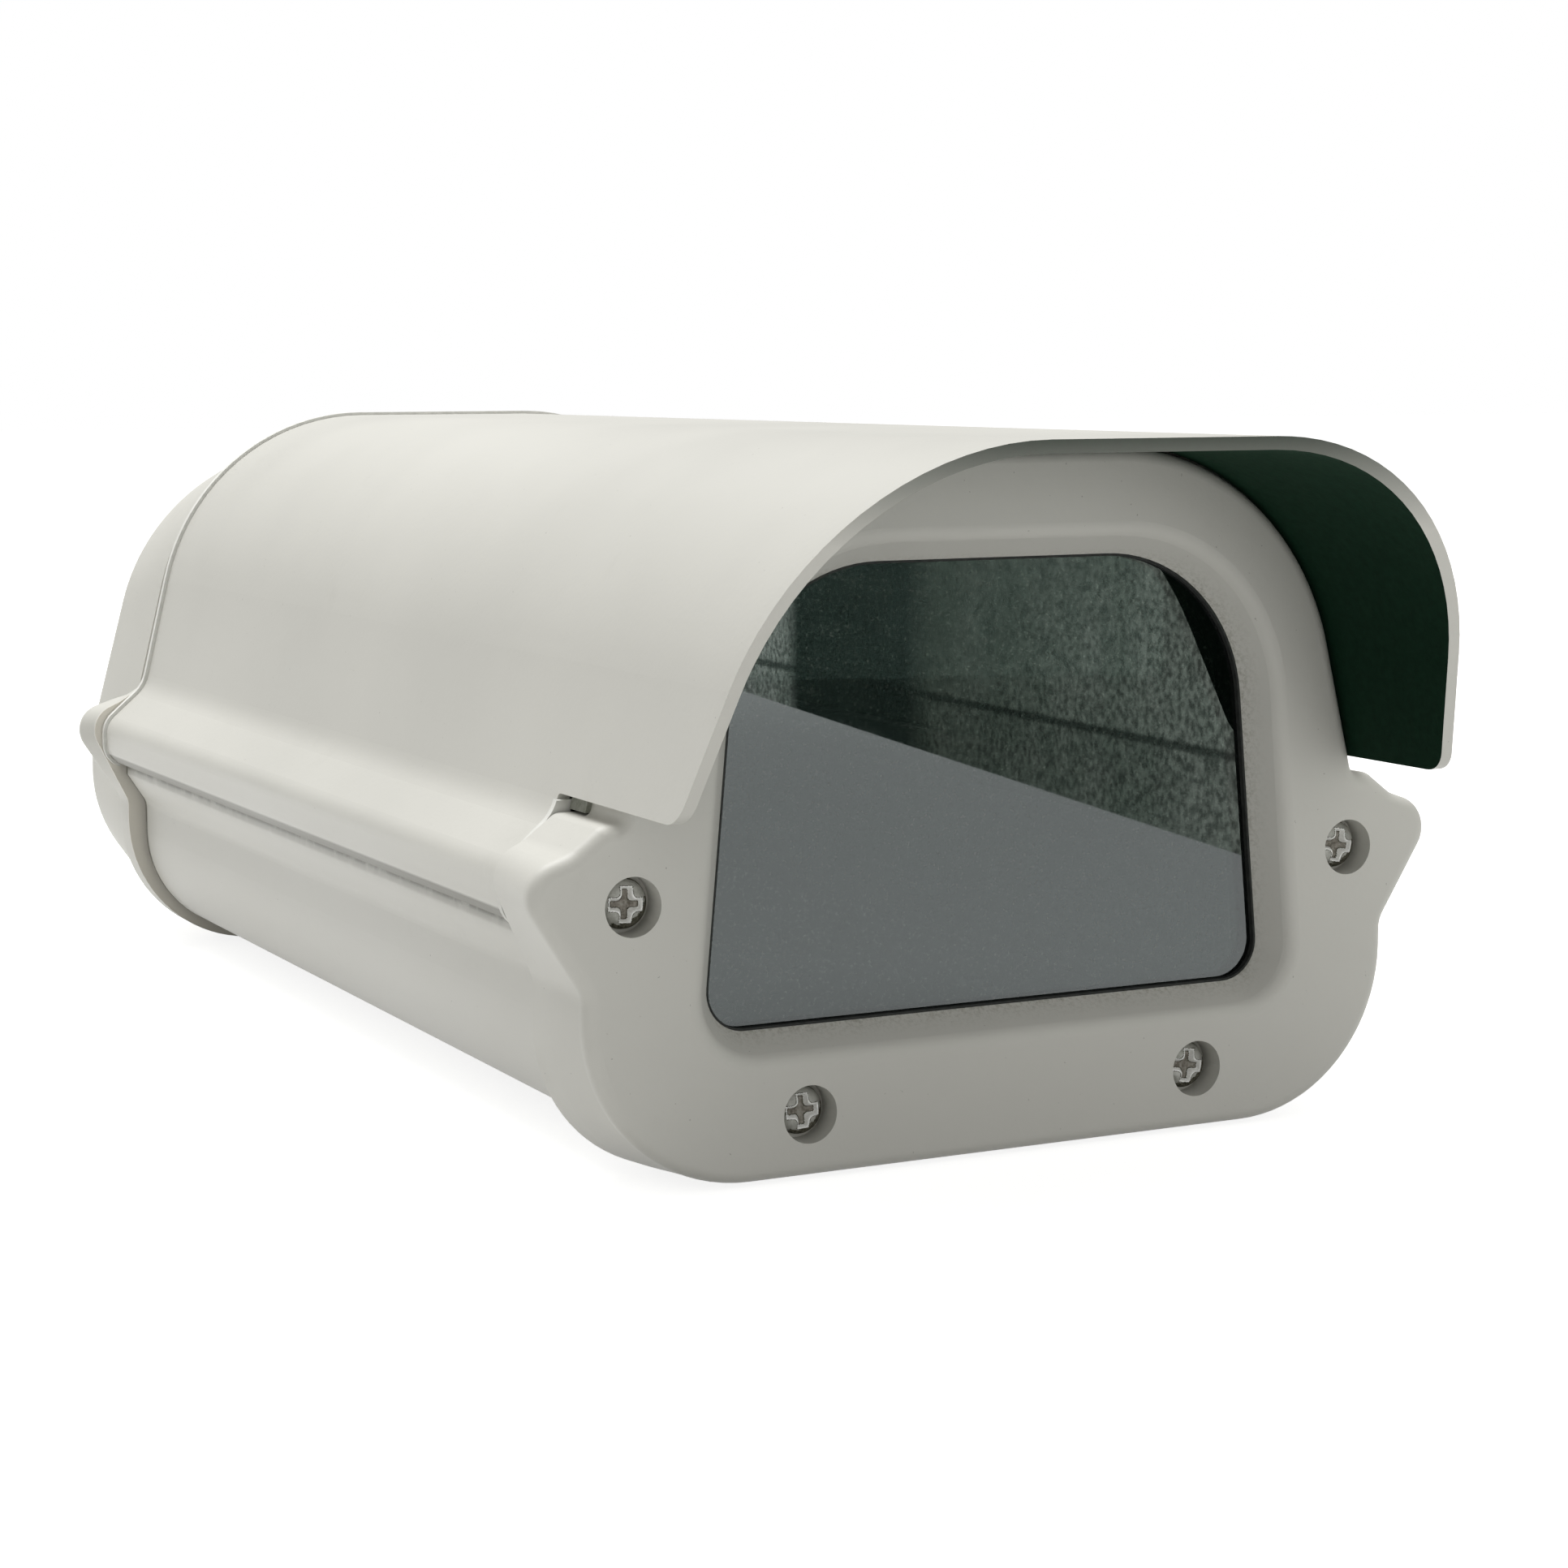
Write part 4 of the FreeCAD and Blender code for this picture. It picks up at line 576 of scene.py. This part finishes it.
def white_ground():
    """A matt white floor, lifted to plain white where it is seen, with the shadow kept."""
    ground = bpy.data.materials.new("white_ground")
    ground.use_nodes = True
    tree = ground.node_tree
    tree.nodes.clear()
    diffuse = tree.nodes.new("ShaderNodeBsdfDiffuse")
    diffuse.inputs["Color"].default_value = GROUND_TONE
    strength = tree.nodes.new("ShaderNodeMath")
    strength.operation = "MULTIPLY"
    strength.inputs[1].default_value = GROUND_LIFT
    tree.links.new(seen_by(tree, "Is Camera Ray", "Is Glossy Ray"), strength.inputs[0])
    lift = tree.nodes.new("ShaderNodeEmission")
    tree.links.new(strength.outputs["Value"], lift.inputs["Strength"])
    total = tree.nodes.new("ShaderNodeAddShader")
    tree.links.new(diffuse.outputs["BSDF"], total.inputs[0])
    tree.links.new(lift.outputs["Emission"], total.inputs[1])
    output = tree.nodes.new("ShaderNodeOutputMaterial")
    tree.links.new(total.outputs["Shader"], output.inputs["Surface"])
    return ground


def white_world(world):
    """Soft light from all sides, and a plain white backdrop where the world is seen."""
    world.use_nodes = True
    tree = world.node_tree
    tree.nodes.clear()
    blend = tree.nodes.new("ShaderNodeMixShader")
    tree.links.new(seen_by(tree, "Is Camera Ray", "Is Transmission Ray"), blend.inputs["Fac"])
    for target, colour, strength in ((blend.inputs[1], FILL_TONE, FILL_STRENGTH),
                                     (blend.inputs[2], BACKDROP_TONE, BACKDROP_STRENGTH)):
        light = tree.nodes.new("ShaderNodeBackground")
        light.inputs["Color"].default_value = colour
        light.inputs["Strength"].default_value = strength
        tree.links.new(light.outputs["Background"], target)
    output = tree.nodes.new("ShaderNodeOutputWorld")
    tree.links.new(blend.outputs["Shader"], output.inputs["Surface"])


bpy.ops.mesh.primitive_plane_add(size=GROUND_SIZE, location=(0.0, 0.0, GROUND_Z))
floor = bpy.context.object
floor.name = "floor"
floor.data.materials.append(white_ground())

world = bpy.data.worlds.new("studio")
bpy.context.scene.world = world
white_world(world)


# Lamps: one soft key lamp high behind the housing, so that the top is brightest and the
# window's side is in gentle shade, and a weak fill low in front.

def soft_lamp(name, place, aim, width, power):
    data = bpy.data.lights.new(name, "AREA")
    data.shape = "SQUARE"
    data.size = width
    data.energy = power
    lamp = bpy.data.objects.new(name, data)
    bpy.context.scene.collection.objects.link(lamp)
    lamp.location = place
    lamp.rotation_euler = (Vector(aim) - Vector(place)).to_track_quat("-Z", "Y").to_euler()
    return lamp


soft_lamp("key", place=(-0.22, 0.58, 1.70), aim=(0.0, 0.05, 0.05), width=1.2, power=34.0)
front_fill = soft_lamp("front_fill", place=(0.28, -0.85, 0.06), aim=(0.0, -0.13, 0.02),
                       width=0.4, power=1.2)
front_fill.visible_glossy = False


# Room wall: a dim board that stands on the floor ahead of the window and to its right.
# Only polished surfaces see it, so the pane shows the pale floor low down and the dim
# room above a slanting line, with a dark doorway, a light strip beyond it and a rail.

WALL_DARK, WALL_LIGHT = (0.36, 0.47, 0.37), (0.58, 0.70, 0.58)
LIGHT_STRIP, STRIP_EDGE = (2.60, 2.25, 2.50), (2.30, 2.00, 2.20)
DOORWAY, DOORWAY_EDGE = (0.02, 0.03, 0.03), (0.03, 0.04, 0.04)
WALL_NEAR_DOOR, WALL_NEAR_END = (0.62, 0.58, 0.57), (1.80, 1.60, 1.70)
WALL_Y, RAIL_HEIGHTS, RAIL_SLOPE = (-0.95, -0.35), (0.0, 0.09), -0.0277
BELOW_RAIL, RAIL, ABOVE_RAIL = (0.85,) * 3, (0.22,) * 3, (1.0,) * 3
FLECK_DARK, FLECK_LIGHT = (0.40,) * 3, (1.60,) * 3
NEAR_END, FAR_END, BOARD_TOP = (0.178, -0.140), (0.420, -1.600), 0.30


def room_wall():
    """Mottled green-grey that gives its own light, by the place along and up the wall."""
    wall = Finish("room_wall")
    here = wall.node("ShaderNodeSeparateXYZ", Vector=wall.place).outputs
    rise = wall.math("ADD", here["Z"], wall.math("MULTIPLY", here["Y"], RAIL_SLOPE))
    glow = wall.ramp(wall.noise(22.0, 3.0, 0.6), (0.35, WALL_DARK), (0.65, WALL_LIGHT))
    flecks = wall.ramp(wall.noise(420.0, 3.0, 0.7), (0.40, FLECK_DARK), (0.62, FLECK_LIGHT))
    across = wall.ramp(wall.spread(here["Y"], *WALL_Y), (0.00, LIGHT_STRIP),
                       (0.335, STRIP_EDGE), (0.360, DOORWAY), (0.555, DOORWAY_EDGE),
                       (0.600, WALL_NEAR_DOOR), (1.00, WALL_NEAR_END))
    height = wall.ramp(wall.spread(rise, *RAIL_HEIGHTS), (0.000, BELOW_RAIL),
                       (0.370, BELOW_RAIL), (0.380, RAIL), (0.396, RAIL), (0.408, ABOVE_RAIL))
    for factor in (flecks, across, height):
        glow = wall.mix(1.0, glow, factor, blend="MULTIPLY")
    wall.set(Emission_Color=glow, Emission_Strength=1.0, Base_Color=(0.0, 0.0, 0.0),
             Roughness=1.0, Specular_IOR_Level=0.0)
    return wall.material


board_mesh = bpy.data.meshes.new("room_board")
board_mesh.from_pydata([(*NEAR_END, 0.0), (*FAR_END, 0.0), (*FAR_END, BOARD_TOP),
                        (*NEAR_END, BOARD_TOP)], [], [(0, 1, 2, 3)])
board_mesh.materials.append(room_wall())
board = bpy.data.objects.new("room_board", board_mesh)
bpy.context.scene.collection.objects.link(board)
board.visible_camera = False
board.visible_diffuse = False
board.visible_transmission = False
board.visible_shadow = False


# Camera: at the photograph's place, ahead of the window and to its left, a little above
# the housing's top. It is turned about 27 degrees from the housing's length.

camera_data = bpy.data.cameras.new("camera")
camera_data.sensor_width = 36.0
camera_data.lens = 74.10
camera_data.clip_start = 0.01
camera_data.clip_end = 50.0
camera = bpy.data.objects.new("camera", camera_data)
bpy.context.scene.collection.objects.link(camera)
camera.location = (-0.25743, -0.56206, 0.12447)
camera.rotation_euler = (math.radians(82.6398), math.radians(0.1780), math.radians(-26.7260))
bpy.context.scene.camera = camera
bpy.context.scene.view_settings.view_transform = "Standard"
